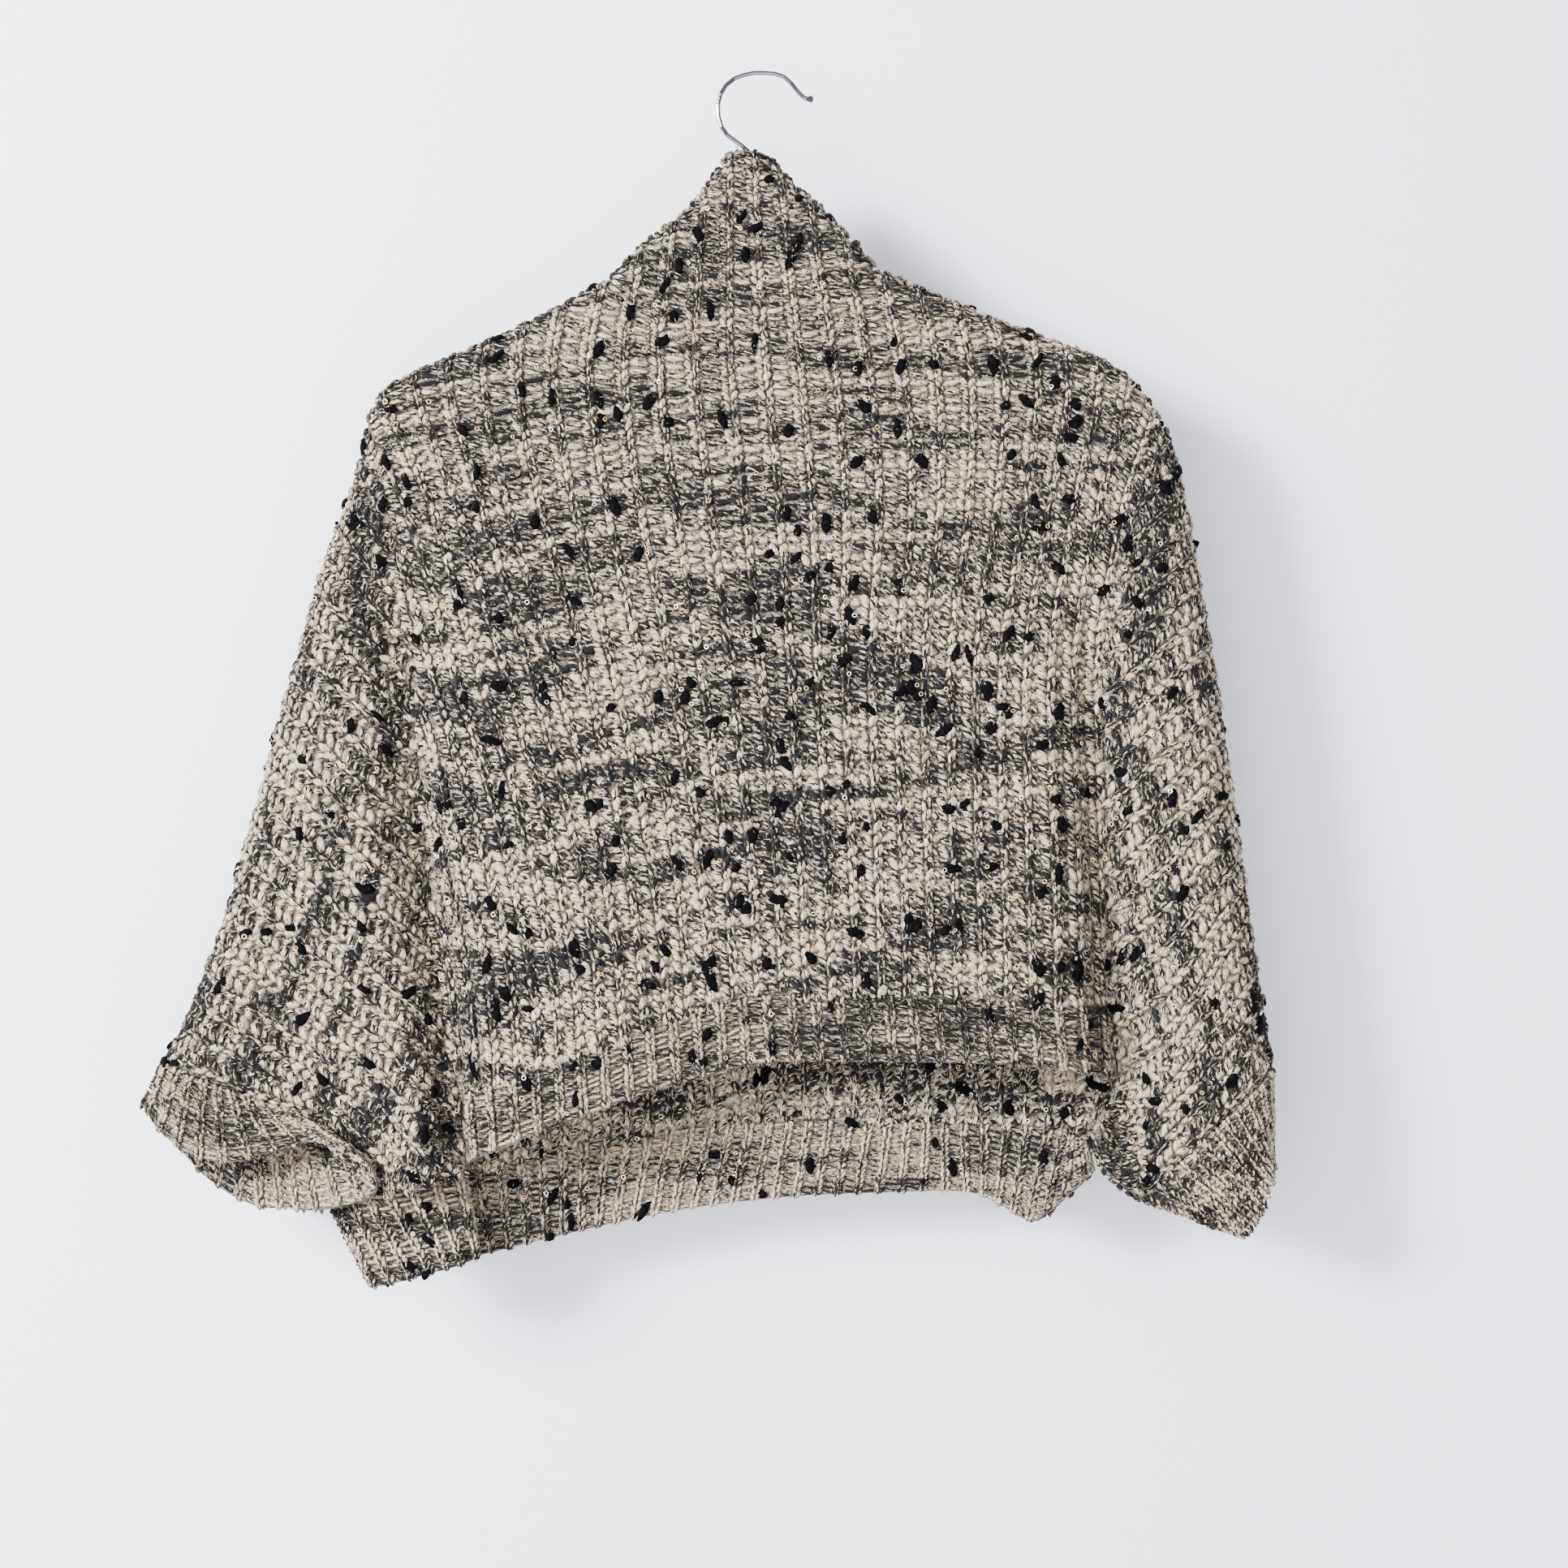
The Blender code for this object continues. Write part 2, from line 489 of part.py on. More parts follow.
def sleeve(overarm, end_lines, underarm, fan):
    """A batwing sleeve: every wale runs from the front seam over the arm to the back seam."""
    overarm = smooth_line(overarm)
    away = np.sign(overarm[-1, 0])
    marks = np.cumsum((0,) + fan) / sum(fan)

    def shape_at(u, rows):
        ends = np.empty((len(u), 2))
        for line, low, high, first in zip(end_lines, marks, marks[1:], (FIRST_WALE_DROP, 0.0)):
            here = (u >= low - 1e-9) & (u <= high + 1e-9)
            ends[here] = at_shares(line, first + (1 - first) * (u[here] - low) / (high - low))
        tops = at_shares(overarm, u)
        down = np.array(rows)
        where = tops[:, None] * (1 - down[:, None]) + ends[:, None] * down[:, None]
        corner = rows[CORNER_ROW]
        along_cuff = np.minimum(down / corner, 1)[:, None]
        cuff_seam = overarm[-1] + (underarm[0] - overarm[-1]) * along_cuff
        fold = at_shares(underarm, np.maximum(down - corner, 0) / (1 - corner))
        last = np.where((down <= corner)[:, None], cuff_seam, fold)
        bend = np.clip((u - BEND_START) / (1 - BEND_START), 0, 1) ** BEND_POWER
        where = where + bend[:, None, None] * (last - where[-1])[None]
        where[:, -1, 0] += away * SEAM_GAP
        where[:, -1, 1] += SEAM_GAP
        where[0, :, 0] += away * SEAM_GAP / 2
        where[-1] += unit(where[-2] - where[-1]) * SEAM_GAP / 2
        halves = []
        for side in (-1, 1):
            places, normals = surface(where, side)
            normals[0] = along_seam(where[0], normals[0])
            normals[-1] = along_seam(where[-1], normals[-1])
            normals[:, -1] = along_seam(where[:, -1], normals[:, -1])
            places[:, 0, 1] = 0.0
            normals[:, 0] = in_plane(normals[:, 0], 1)
            places[-1, CORNER_ROW:-1, 1] = side * SEAM_GAP / 2
            normals[-1, CORNER_ROW:-1] = in_plane(surface(where[-1, CORNER_ROW:-1], side)[1], 1)
            halves.append((places, normals))
        (front, front_n), (back, back_n) = halves
        places = np.concatenate([front[:, ::-1], back[:, 1:]], axis=1)
        normals = np.concatenate([front_n[:, ::-1], back_n[:, 1:]], axis=1)
        return places, normals

    return shape_at


def collar(u, rows):
    """The neck: rings between the two slopes, from the base up to the hook's opening."""
    left, right = smooth_line(NECK_SLOPE_LEFT), smooth_line(NECK_SLOPE_RIGHT)[::-1]
    base = smooth_line(NECK_BASE)
    rows = np.array(rows)
    left_end, right_end = at_shares(left, rows), at_shares(right, rows)
    whole = u * 2
    share = np.where(whole <= 1, whole, 2 - whole)
    sides = np.where(whole <= 1, -1, 1)
    sag = at_shares(base, share) - (base[0] * (1 - share[:, None]) + base[-1] * share[:, None])
    where = left_end[None] * (1 - share[:, None, None]) + right_end[None] * share[:, None, None]
    where = where + sag[:, None] * ((1 - rows) ** 2)[None, :, None]
    where[:, 0, 1] += 2 * SEAM_GAP
    places, normals = np.empty(where.shape[:2] + (3,)), np.empty(where.shape[:2] + (3,))
    for side in (-1, 1):
        mine = sides == side
        places[mine], normals[mine] = surface(where[mine], side)
    on_edge = (share < 1e-6) | (share > 1 - 1e-6)
    places[on_edge, :, 1] = 0.0
    normals[on_edge] = in_plane(normals[on_edge], 1)
    half = len(u) // 2 + 1
    normals[:half, 0] = along_seam(where[:half, 0], normals[:half, 0])
    normals[half - 1:, 0] = along_seam(where[half - 1:, 0], normals[half - 1:, 0])
    return places, normals


def front_rib(u, rows):
    """The front hem band hangs on from the front panel."""
    top = at_shares(smooth_line(RIB_SEAM_FRONT), u)[:, None]
    bottom = at_shares(smooth_line(FRONT_HEM), u)[:, None]
    down = np.array(rows)[None, :, None]
    where = top * (1 - down) + bottom * down
    where = inset(where, SEAM_GAP / 2)
    where[:, 0, 1] -= SEAM_GAP
    places, normals = surface(where, -1)
    normals[0] = along_seam(where[0], normals[0])
    normals[-1] = along_seam(where[-1], normals[-1])
    normals[:, 0] = along_seam(where[:, 0], normals[:, 0])
    return places, normals


def back_rib(u, rows):
    """The back hem band with the part of it that folds round the left side."""
    drawn = at_shares(smooth_line(BACK_HEM_BAND), u)
    down = np.array(rows)[None, :, None]
    places = drawn[:, None, :3] * (1 - down) + drawn[:, None, 3:] * down
    places[:, 0, 2] -= SEAM_GAP
    normals = grid_normals(places, False, np.array([0.0, 1.0, 0.0]))
    normals[:, 0] = along_seam(places[:, 0][:, [0, 2]], normals[:, 0])
    return places, normals


def cuff(seam_end, edge_table):
    """A ribbed cuff from the last wale of its sleeve to its open edge."""
    edge = smooth_line(edge_table + edge_table[:1])
    outer, inner = np.array(seam_end[0]), np.array(seam_end[1])

    def shape_at(u, rows):
        whole = u * 2
        share = np.where(whole <= 1, whole, 2 - whole)
        sides = np.where(whole <= 1, -1, 1)
        where = outer * (1 - share[:, None]) + inner * share[:, None]
        seam = np.empty((len(u), 3))
        seam_normal = np.empty((len(u), 3))
        for side in (-1, 1):
            mine = sides == side
            seam[mine], seam_normal[mine] = surface(where[mine], side)
        ends = (share < 1e-6) | (share > 1 - 1e-6)
        seam[ends, 1] = 0.0
        seam_normal[ends] = in_plane(seam_normal[ends], 1)
        half = len(u) // 2 + 1
        seam_normal[:half] = along_seam(where[:half], seam_normal[:half])
        seam_normal[half - 1:] = along_seam(where[half - 1:], seam_normal[half - 1:])
        rim = at_shares(edge, u)
        down = np.array(rows)[None, :, None]
        places = seam[:, None] * (1 - down) + rim[:, None] * down
        places = places + unit(rim - seam)[:, None] * 2 * SEAM_GAP * (1 - down)
        normals = grid_normals(places, True, np.array([0.0, 1.0, 0.0]))
        quarter = len(u) // 4
        if normals[quarter, 1, 1] > 0:
            normals = -normals
        normals[:, 0] = seam_normal
        return places, normals

    return shape_at


def hanger_bar():
    """The shoulder bar: rounded upright sections joined along its length."""
    angles = np.arange(HANGER_SIDES) * 2 * np.pi / HANGER_SIDES
    ring_y, ring_z = np.cos(angles), np.sin(angles)
    ring_y = np.sign(ring_y) * np.abs(ring_y) ** BAR_ROUNDING
    ring_z = np.sign(ring_z) * np.abs(ring_z) ** BAR_ROUNDING
    points = []
    for x, top, height, thickness in HANGER_SECTIONS:
        middle = top - height / 2
        for y, z in zip(ring_y, ring_z):
            points.append((x, y * thickness / 2, middle + z * height / 2))
    faces = []
    for i in range(len(HANGER_SECTIONS) - 1):
        for j in range(HANGER_SIDES):
            k = (j + 1) % HANGER_SIDES
            a, b = i * HANGER_SIDES, (i + 1) * HANGER_SIDES
            faces.append((a + j, a + k, b + k, b + j))
    last = (len(HANGER_SECTIONS) - 1) * HANGER_SIDES
    faces.append(tuple(range(HANGER_SIDES))[::-1])
    faces.append(tuple(last + j for j in range(HANGER_SIDES)))
    points = np.array(points)
    if signed_volume(points, faces) < 0:
        faces = [face[::-1] for face in faces]
    return make_object("hanger", points, faces, bar_material)


def material_of(name, colour, roughness, metallic=0.0):
    material = bpy.data.materials.new(name)
    material.use_nodes = True
    shader = material.node_tree.nodes["Principled BSDF"]
    shader.inputs["Base Color"].default_value = colour
    shader.inputs["Roughness"].default_value = roughness
    shader.inputs["Metallic"].default_value = metallic
    return material


for old in list(bpy.data.objects):
    bpy.data.objects.remove(old)

garment = bpy.data.collections.new("turtleneck_sweater")
cutters = bpy.data.collections.new("cutters")
bpy.context.scene.collection.children.link(garment)
bpy.context.scene.collection.children.link(cutters)

cloth_material = material_of("heather_knit", CLOTH_COLOUR, 0.92)
rib_material = material_of("heather_rib", RIB_COLOUR, 0.92)
bar_material = material_of("hanger_plastic", BAR_COLOUR, 0.45)
steel_material = material_of("hook_steel", STEEL_COLOUR, 0.18, 1.0)

# Body panels
knit_wall(
    "front", body_panel(-1, RIB_SEAM_FRONT, [], []), PANEL_WALES, PANEL_ROWS, cloth_material, WALE_RAISE
)
knit_wall(
    "back",
    body_panel(1, RIB_SEAM_BACK, [CREASE_LEFT_END], [CREASE_RIGHT_END, LOBE_SEAM_RIGHT]),
    PANEL_WALES, PANEL_ROWS, cloth_material, WALE_RAISE,
)

# Sleeves
left_lines = (joined(CREASE_LEFT, CREASE_LEFT_END), smooth_line(LOBE_SEAM_LEFT))
right_lines = (joined(CREASE_RIGHT, CREASE_RIGHT_END), smooth_line(LOBE_SEAM_RIGHT))
left_fold = smooth_line(UNDERARM_LEFT)[::-1]
right_fold = smooth_line(UNDERARM_RIGHT)[::-1]
knit_wall(
    "sleeve_left", sleeve(OVERARM_LEFT, left_lines, left_fold, LEFT_FAN), SLEEVE_WALES, SLEEVE_ROWS,
    cloth_material, WALE_RAISE,
)
knit_wall(
    "sleeve_right", sleeve(OVERARM_RIGHT, right_lines, right_fold, RIGHT_FAN), SLEEVE_WALES, SLEEVE_ROWS,
    cloth_material, WALE_RAISE,
)

# Neck, hem bands and cuffs
knit_wall("collar", collar, COLLAR_WALES, COLLAR_ROWS, cloth_material, WALE_RAISE, closed=True)
knit_wall("hem_rib_front", front_rib, FRONT_HEM_RIBS, RIB_ROWS, rib_material, RIB_RAISE)
knit_wall("hem_rib_back", back_rib, BACK_HEM_RIBS, RIB_ROWS, rib_material, RIB_RAISE)
knit_wall(
    "cuff_left", cuff((OVERARM_LEFT[-1], UNDERARM_LEFT[-1]), CUFF_EDGE_LEFT), CUFF_RIBS, RIB_ROWS,
    rib_material, RIB_RAISE, closed=True, wall=CUFF_WALL,
)
knit_wall(
    "cuff_right", cuff((OVERARM_RIGHT[-1], UNDERARM_RIGHT[-1]), CUFF_EDGE_RIGHT), CUFF_RIBS, RIB_ROWS,
    rib_material, RIB_RAISE, closed=True, wall=CUFF_WALL,
)

# Hanger: the bar with a bore for the hook's shank
bar = hanger_bar()
bore_top = max(top for _, top, _, _ in HANGER_SECTIONS) + CUT_OVERRUN
bore_length = HOOK_BORE_DEPTH + CUT_OVERRUN
bpy.ops.mesh.primitive_cylinder_add(
    vertices=12,
    radius=(HOOK_RADIUS + SEAM_GAP) * MM,
    depth=bore_length * MM,
    location=(0.0, 0.0, (bore_top - bore_length / 2) * MM),
)
bore = bpy.context.object
bore.name = "hook_bore"
for holder in list(bore.users_collection):
    holder.objects.unlink(bore)
cutters.objects.link(bore)
bore.hide_render = True
drill = bar.modifiers.new("hook bore", "BOOLEAN")
drill.operation = "DIFFERENCE"
drill.solver = "EXACT"
drill.object = bore

# Hook: a round wire with a ball end
wire = bpy.data.curves.new("hook", "CURVE")
wire.dimensions = "3D"
wire.bevel_depth = HOOK_RADIUS * MM
wire.bevel_resolution = 2
wire.use_fill_caps = True
spline = wire.splines.new("POLY")
spline.points.add(len(HOOK_LINE) - 1)
for point, (x, z, share) in zip(spline.points, HOOK_LINE):
    point.co = (x * MM, 0.0, z * MM, 1.0)
    point.radius = share
wire.materials.append(steel_material)
hook = bpy.data.objects.new("hook", wire)
garment.objects.link(hook)
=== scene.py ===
import bpy
import numpy as np
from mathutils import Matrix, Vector


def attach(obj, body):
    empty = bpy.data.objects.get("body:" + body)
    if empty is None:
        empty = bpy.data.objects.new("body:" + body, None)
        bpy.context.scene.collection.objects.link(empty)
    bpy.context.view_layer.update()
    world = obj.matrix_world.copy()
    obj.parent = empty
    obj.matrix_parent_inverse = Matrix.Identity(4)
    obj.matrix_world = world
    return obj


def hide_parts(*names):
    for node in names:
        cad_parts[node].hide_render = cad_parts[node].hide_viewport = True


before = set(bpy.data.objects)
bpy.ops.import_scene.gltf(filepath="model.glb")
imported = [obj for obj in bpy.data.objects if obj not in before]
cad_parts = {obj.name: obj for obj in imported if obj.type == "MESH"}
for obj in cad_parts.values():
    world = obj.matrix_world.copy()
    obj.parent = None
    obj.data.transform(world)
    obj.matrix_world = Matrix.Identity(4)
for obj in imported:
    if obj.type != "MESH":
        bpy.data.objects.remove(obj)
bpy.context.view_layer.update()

bpy.ops.object.select_all(action="DESELECT")

# Front panel
# A machine-knitted half-cardigan rib in a marled ecru yarn, sewn to the back at the shoulders.
# A plain cloth wall carries it, and every stitch of its face is a pair of plump legs.
# Lengths in the tables are millimetres: x to the right, y to the back, z up from the hook.
MM = 0.001
SEAM_GAP = 0.3  # space between two pieces that are sewn together
ON_EDGE = 0.8  # a point this close to a folded edge is taken to be on it
ON_SHOULDER = 1.0  # a panel's top point this close to the edge is on the shoulder
LEAST_ROUNDNESS = 0.03  # keeps the slope at a folded edge from growing without end
SLOPE_STEP = 0.5  # half the distance over which the slope of the full depth is read
FOLD_STOP = 2  # drawn points of an underarm fold that open out again at the hem

# Outlines of the garment as it hangs: x, z
OVERARM_LEFT = [
    (-219.0, -196.8), (-222.2, -214.8), (-227.3, -233.6), (-234.2, -252.0), (-241.5, -272.0),
    (-248.0, -290.8), (-257.2, -325.6), (-268.0, -362.4), (-277.5, -399.2), (-287.9, -436.0),
    (-298.0, -472.8), (-311.0, -509.6), (-323.9, -541.0), (-334.0, -557.9),
]
OVERARM_RIGHT = [
    (230.9, -196.8), (238.3, -214.8), (246.1, -252.0), (252.5, -288.8), (259.0, -325.6),
    (264.5, -362.4), (270.0, -399.2), (275.0, -436.0), (279.6, -472.8), (285.0, -509.6),
    (290.3, -544.1), (293.5, -561.2),
]
SHOULDER_LEFT = [
    (-219.0, -196.8), (-210.5, -180.5), (-192.0, -169.0), (-171.0, -160.0), (-131.0, -142.0),
    (-95.0, -123.5), (-81.9, -116.3),
]
SHOULDER_RIGHT = [
    (69.4, -110.4), (98.0, -123.0), (144.0, -142.0), (186.0, -157.0), (205.0, -167.0),
    (219.0, -179.0), (230.9, -196.8),
]
NECK_SLOPE_LEFT = [
    (-81.9, -116.3), (-62.1, -96.1), (-37.5, -76.4), (-24.9, -60.0), (-12.5, -43.5),
]
NECK_SLOPE_RIGHT = [(8.5, -46.0), (20.0, -59.8), (40.0, -77.4), (57.9, -96.1), (69.4, -110.4)]
NECK_BASE = [(-81.9, -116.3), (-40.0, -124.5), (-3.0, -127.0), (34.0, -122.0), (69.4, -110.4)]

# Deep folds where the body meets the hanging sleeves: x, z
CREASE_LEFT = [
    (-219.0, -196.8), (-211.5, -220.6), (-205.8, -248.6), (-200.6, -280.4), (-196.8, -311.0),
    (-193.5, -351.2), (-189.6, -395.1), (-183.1, -464.0), (-174.4, -532.8), (-166.6, -577.3),
]
CREASE_RIGHT = [
    (230.9, -196.8), (222.5, -218.0), (214.0, -245.0), (207.0, -275.0), (202.2, -305.0),
    (199.2, -340.0), (198.0, -380.0), (198.8, -441.0), (200.8, -490.0), (203.7, -530.1),
]

# Folds under the arms, from the cuff or the hem: x, z
UNDERARM_LEFT = [(-208.6, -632.6), (-225.0, -613.0), (-244.3, -591.5)]
UNDERARM_RIGHT = [(190.4, -603.9), (196.4, -620.5), (206.5, -631.1), (215.7, -637.1)]

# Seam of the front panel with its hem band: x, z
RIB_SEAM_FRONT = [
    (-166.6, -577.3), (-148.2, -571.3), (-102.6, -556.8), (-57.5, -539.2), (-20.0, -526.0),
    (10.2, -520.0), (78.0, -521.2), (145.3, -523.9), (188.5, -527.5), (203.7, -530.1),
]

# Half depths of the garment by level, before its edges are rounded and its folds are laid in.
# level z, front of the body, back of the body, front of a sleeve, back of a sleeve, edge radius
FULLNESS = [
    (-40.0, 12.5, 12.5, 12.5, 12.5, 11.0),
    (-90.0, 13.5, 13.0, 13.5, 13.0, 12.0),
    (-140.0, 12.5, 12.5, 12.5, 12.5, 13.0),
    (-190.0, 13.5, 13.0, 13.0, 13.0, 14.0),
    (-240.0, 16.5, 14.5, 16.0, 15.0, 19.0),
    (-300.0, 20.5, 16.5, 20.5, 18.0, 24.0),
    (-400.0, 25.5, 19.0, 25.0, 20.5, 27.0),
    (-500.0, 31.5, 21.5, 27.5, 21.5, 27.0),
    (-560.0, 35.5, 22.5, 25.5, 21.0, 24.0),
    (-600.0, 37.5, 23.0, 21.0, 19.0, 17.0),
    (-640.0, 38.0, 23.5, 17.0, 17.0, 11.0),
    (-690.0, 39.0, 24.0, 17.0, 17.0, 11.0),
]
EDGE_RADIUS = 5  # the table's column with the radius of the edges
BODY_HALF_WIDTH = 196.0
BODY_BLEND = 4.67  # how softly the body's depth goes over to a sleeve's at that distance

# Folds: front or back (-1, 1), then a row per point of its line: x, z, raise, half width
LEFT_CREASE_FOLD = (-1, [
    (-204.0, -262.0, 0.0, 20.0), (-198.0, -300.0, -9.0, 19.0), (-193.5, -351.0, -16.0, 18.0),
    (-189.6, -395.0, -20.0, 18.0), (-183.1, -464.0, -25.0, 18.0), (-174.4, -533.0, -27.5, 18.0),
    (-166.6, -577.0, -26.0, 17.0), (-160.0, -632.0, -22.0, 15.0),
])
RIGHT_CREASE_FOLD = (-1, [
    (197.0, -275.0, 0.0, 20.0), (193.6, -310.0, -9.0, 19.0), (194.1, -372.0, -17.0, 18.0),
    (198.8, -441.0, -22.0, 18.0), (203.7, -510.0, -25.0, 18.0), (205.5, -550.0, -26.0, 17.0),
    (205.0, -590.0, -22.0, 17.0),
])
FRONT_TROUGH_FOLD = (-1, [
    (-62.0, -440.0, 0.0, 22.0), (-45.0, -480.0, -4.5, 24.0), (-18.0, -530.0, -6.0, 25.0),
    (6.0, -570.0, -6.0, 24.0),
])
FRONT_RISE_FOLD = (-1, [
    (-95.0, -430.0, 0.0, 26.0), (-92.0, -500.0, 3.5, 28.0), (-88.0, -570.0, 4.5, 28.0),
])
LEFT_SLEEVE_FOLD = (-1, [
    (-255.0, -400.0, 0.0, 18.0), (-262.0, -470.0, -3.5, 18.0), (-262.0, -530.0, -5.0, 18.0),
    (-250.0, -575.0, -4.0, 16.0),
])
RIGHT_SLEEVE_FOLD = (-1, [
    (232.0, -400.0, 0.0, 16.0), (238.0, -480.0, 3.0, 18.0), (240.0, -560.0, 3.0, 18.0),
])
LEFT_BACK_FOLD = (1, [
    (-204.0, -262.0, 0.0, 24.0), (-192.0, -380.0, -8.0, 22.0), (-178.0, -500.0, -11.0, 22.0),
    (-166.0, -580.0, -10.0, 22.0), (-160.0, -640.0, -7.0, 20.0),
])
RIGHT_BACK_FOLD = (1, [
    (197.0, -275.0, 0.0, 24.0), (194.0, -380.0, -8.0, 22.0), (200.0, -500.0, -11.0, 22.0),
    (204.0, -560.0, -10.0, 22.0), (206.0, -600.0, -7.0, 20.0),
])
MIDDLE_BACK_FOLD = (1, [
    (40.0, -360.0, 0.0, 28.0), (52.0, -450.0, -4.5, 30.0), (60.0, -540.0, -5.5, 30.0),
    (64.0, -610.0, -4.5, 28.0),
])
FOLDS = [
    LEFT_CREASE_FOLD, RIGHT_CREASE_FOLD, FRONT_TROUGH_FOLD, FRONT_RISE_FOLD, LEFT_SLEEVE_FOLD,
    RIGHT_SLEEVE_FOLD, LEFT_BACK_FOLD, RIGHT_BACK_FOLD, MIDDLE_BACK_FOLD,
]
LEAST_DEPTH = 4.6  # the two faces never come closer than twice this


def smooth_line(points, steps=8):
    """The table's points joined by a smooth curve, with a number of steps between two."""
    p = np.array(points, float)
    p = np.vstack([2 * p[0] - p[1], p, 2 * p[-1] - p[-2]])
    t = np.arange(steps)[:, None] / steps
    spans = [
        0.5 * (2 * b + (c - a) * t + (2 * a - 5 * b + 4 * c - d) * t**2 + (3 * b - a - 3 * c + d) * t**3)
        for a, b, c, d in zip(p[:-3], p[1:-2], p[2:-1], p[3:])
    ]
    return np.vstack(spans + [p[-2:-1]])


def read_columns(where, marks, table):
    """Each column of a table, read at places between its marks."""
    return np.stack([np.interp(where, marks, column) for column in table.T], axis=-1)


def at_shares(line, shares):
    """Points of a finely drawn line at shares of its length."""
    lengths = np.concatenate([[0.0], np.cumsum(np.linalg.norm(np.diff(line, axis=0), axis=1))])
    return read_columns(np.asarray(shares, float) * lengths[-1], lengths, line)


def joined(*tables):
    """Tables that follow on from each other, each drawn smoothly, as one line."""
    lines = [smooth_line(table) for table in tables]
    return np.vstack([lines[0]] + [line[1:] for line in lines[1:]])


# The folded edges, each run along with the garment on its right
CLOSED_EDGES = [
    joined(OVERARM_LEFT[::-1], SHOULDER_LEFT, NECK_SLOPE_LEFT),
    joined(NECK_SLOPE_RIGHT, SHOULDER_RIGHT, OVERARM_RIGHT),
    smooth_line(UNDERARM_LEFT)[FOLD_STOP:],
    smooth_line(UNDERARM_RIGHT[::-1])[:-FOLD_STOP],
]


def nearest(points, line):
    """Distance from each point to a line, the point of the line, and where along it that is."""
    a = line[:-1]
    step = line[1:] - a
    share = ((points[:, None] - a) * step).sum(-1) / (step**2).sum(-1)
    share = np.clip(share, 0.0, 1.0)
    foot = a + share[..., None] * step
    apart = np.linalg.norm(points[:, None] - foot, axis=-1)
    best = apart.argmin(axis=1)
    row = np.arange(len(points))
    return apart[row, best], foot[row, best], best + share[row, best]


def edge_distance(points):
    """Distance to the closest folded edge of the garment and the way that leads inwards."""
    apart = np.full(len(points), 1e9)
    inwards = np.zeros_like(points)
    for line in CLOSED_EDGES:
        distance, foot, where = nearest(points, line)
        steps = unit(np.gradient(line, axis=0))
        step = steps[np.minimum((where + 0.5).astype(int), len(line) - 1)]
        across = np.stack([step[:, 1], -step[:, 0]], axis=-1)
        away = np.where((distance < ON_EDGE)[:, None], across, unit(points - foot))
        closer = distance < apart
        apart[closer] = distance[closer]
        inwards[closer] = away[closer]
    return apart, inwards


def fullness_at(z, column):
    """A column of the table of half depths, read at levels z."""
    table = np.array(FULLNESS)[::-1]
    return np.interp(z, table[:, 0], table[:, column])


def full_depth(points, side):
    """Half depth of the garment before its edges are rounded."""
    x, z = points.T
    column = 1 if side < 0 else 2
    body, sleeve = fullness_at(z, column), fullness_at(z, column + 2)
    outside = 1 / (1 + np.exp(-(np.abs(x) - BODY_HALF_WIDTH) / BODY_BLEND))
    depth = body + (sleeve - body) * outside
    for fold_side, rows in FOLDS:
        if fold_side != side:
            continue
        rows = np.array(rows)
        line = smooth_line(rows[:, :2], 4)
        distance, _, where = nearest(points, line)
        row_place = where * (len(rows) - 1) / (len(line) - 1)
        raised, width = read_columns(row_place, np.arange(len(rows)), rows[:, 2:]).T
        depth = depth + raised * np.exp(-((distance / width) ** 2))
    return np.maximum(depth, LEAST_DEPTH)


def surface(points, side):
    """Outer points and outward normals of the garment's front (side -1) or back (side 1)."""
    flat = np.asarray(points, float).reshape(-1, 2)
    radius = fullness_at(flat[:, 1], EDGE_RADIUS)
    apart, inwards = edge_distance(flat)
    near = np.clip(apart / radius, 0.0, 1.0)
    roundness = np.sqrt(np.maximum(1 - (1 - near) ** 2, 0.0))
    depth = full_depth(flat, side)
    slope = (1 - near) / (radius * np.maximum(roundness, LEAST_ROUNDNESS)) * depth
    tilts = [
        full_depth(flat + step, side) - full_depth(flat - step, side)
        for step in (np.array([SLOPE_STEP, 0.0]), np.array([0.0, SLOPE_STEP]))
    ]
    tilt = np.stack(tilts, axis=-1) / (2 * SLOPE_STEP)
    leaning = inwards * slope[:, None] + tilt * roundness[:, None]
    place = np.stack([flat[:, 0], side * depth * roundness, flat[:, 1]], axis=-1)
    normal = np.stack([-leaning[:, 0], np.full(len(flat), float(side)), -leaning[:, 1]], axis=-1)
    shape = np.shape(points)[:-1] + (3,)
    return place.reshape(shape), unit(normal).reshape(shape)


def unit(vectors):
    return vectors / np.maximum(np.linalg.norm(vectors, axis=-1, keepdims=True), 1e-9)


def in_plane(normal, axis):
    """The normals with one coordinate taken out, so that a rim stays in its plane."""
    flat = normal.copy()
    flat[..., axis] = 0.0
    return unit(flat)


def along_seam(where, normal):
    """The normals of a rim turned so that the wall's inner edge keeps to the seam's own line."""
    step = unit(np.gradient(where, axis=0))
    share = normal[:, 0] * step[:, 0] + normal[:, 2] * step[:, 1]
    return unit(np.stack([share * step[:, 0], normal[:, 1], share * step[:, 1]], axis=-1))


def patch(top, bottom, left, right, u, v):
    """A sheet of (x, z) points between four lines that meet at its corners."""
    v_top, v_bottom = at_shares(top, u)[:, None], at_shares(bottom, u)[:, None]
    left_side, right_side = at_shares(left, v)[None], at_shares(right, v)[None]
    a, b = u[:, None, None], v[None, :, None]
    corners = (
        (1 - a) * (1 - b) * top[0] + a * (1 - b) * top[-1] + (1 - a) * b * bottom[0] + a * b * bottom[-1]
    )
    return (1 - b) * v_top + b * v_bottom + (1 - a) * left_side + a * right_side - corners


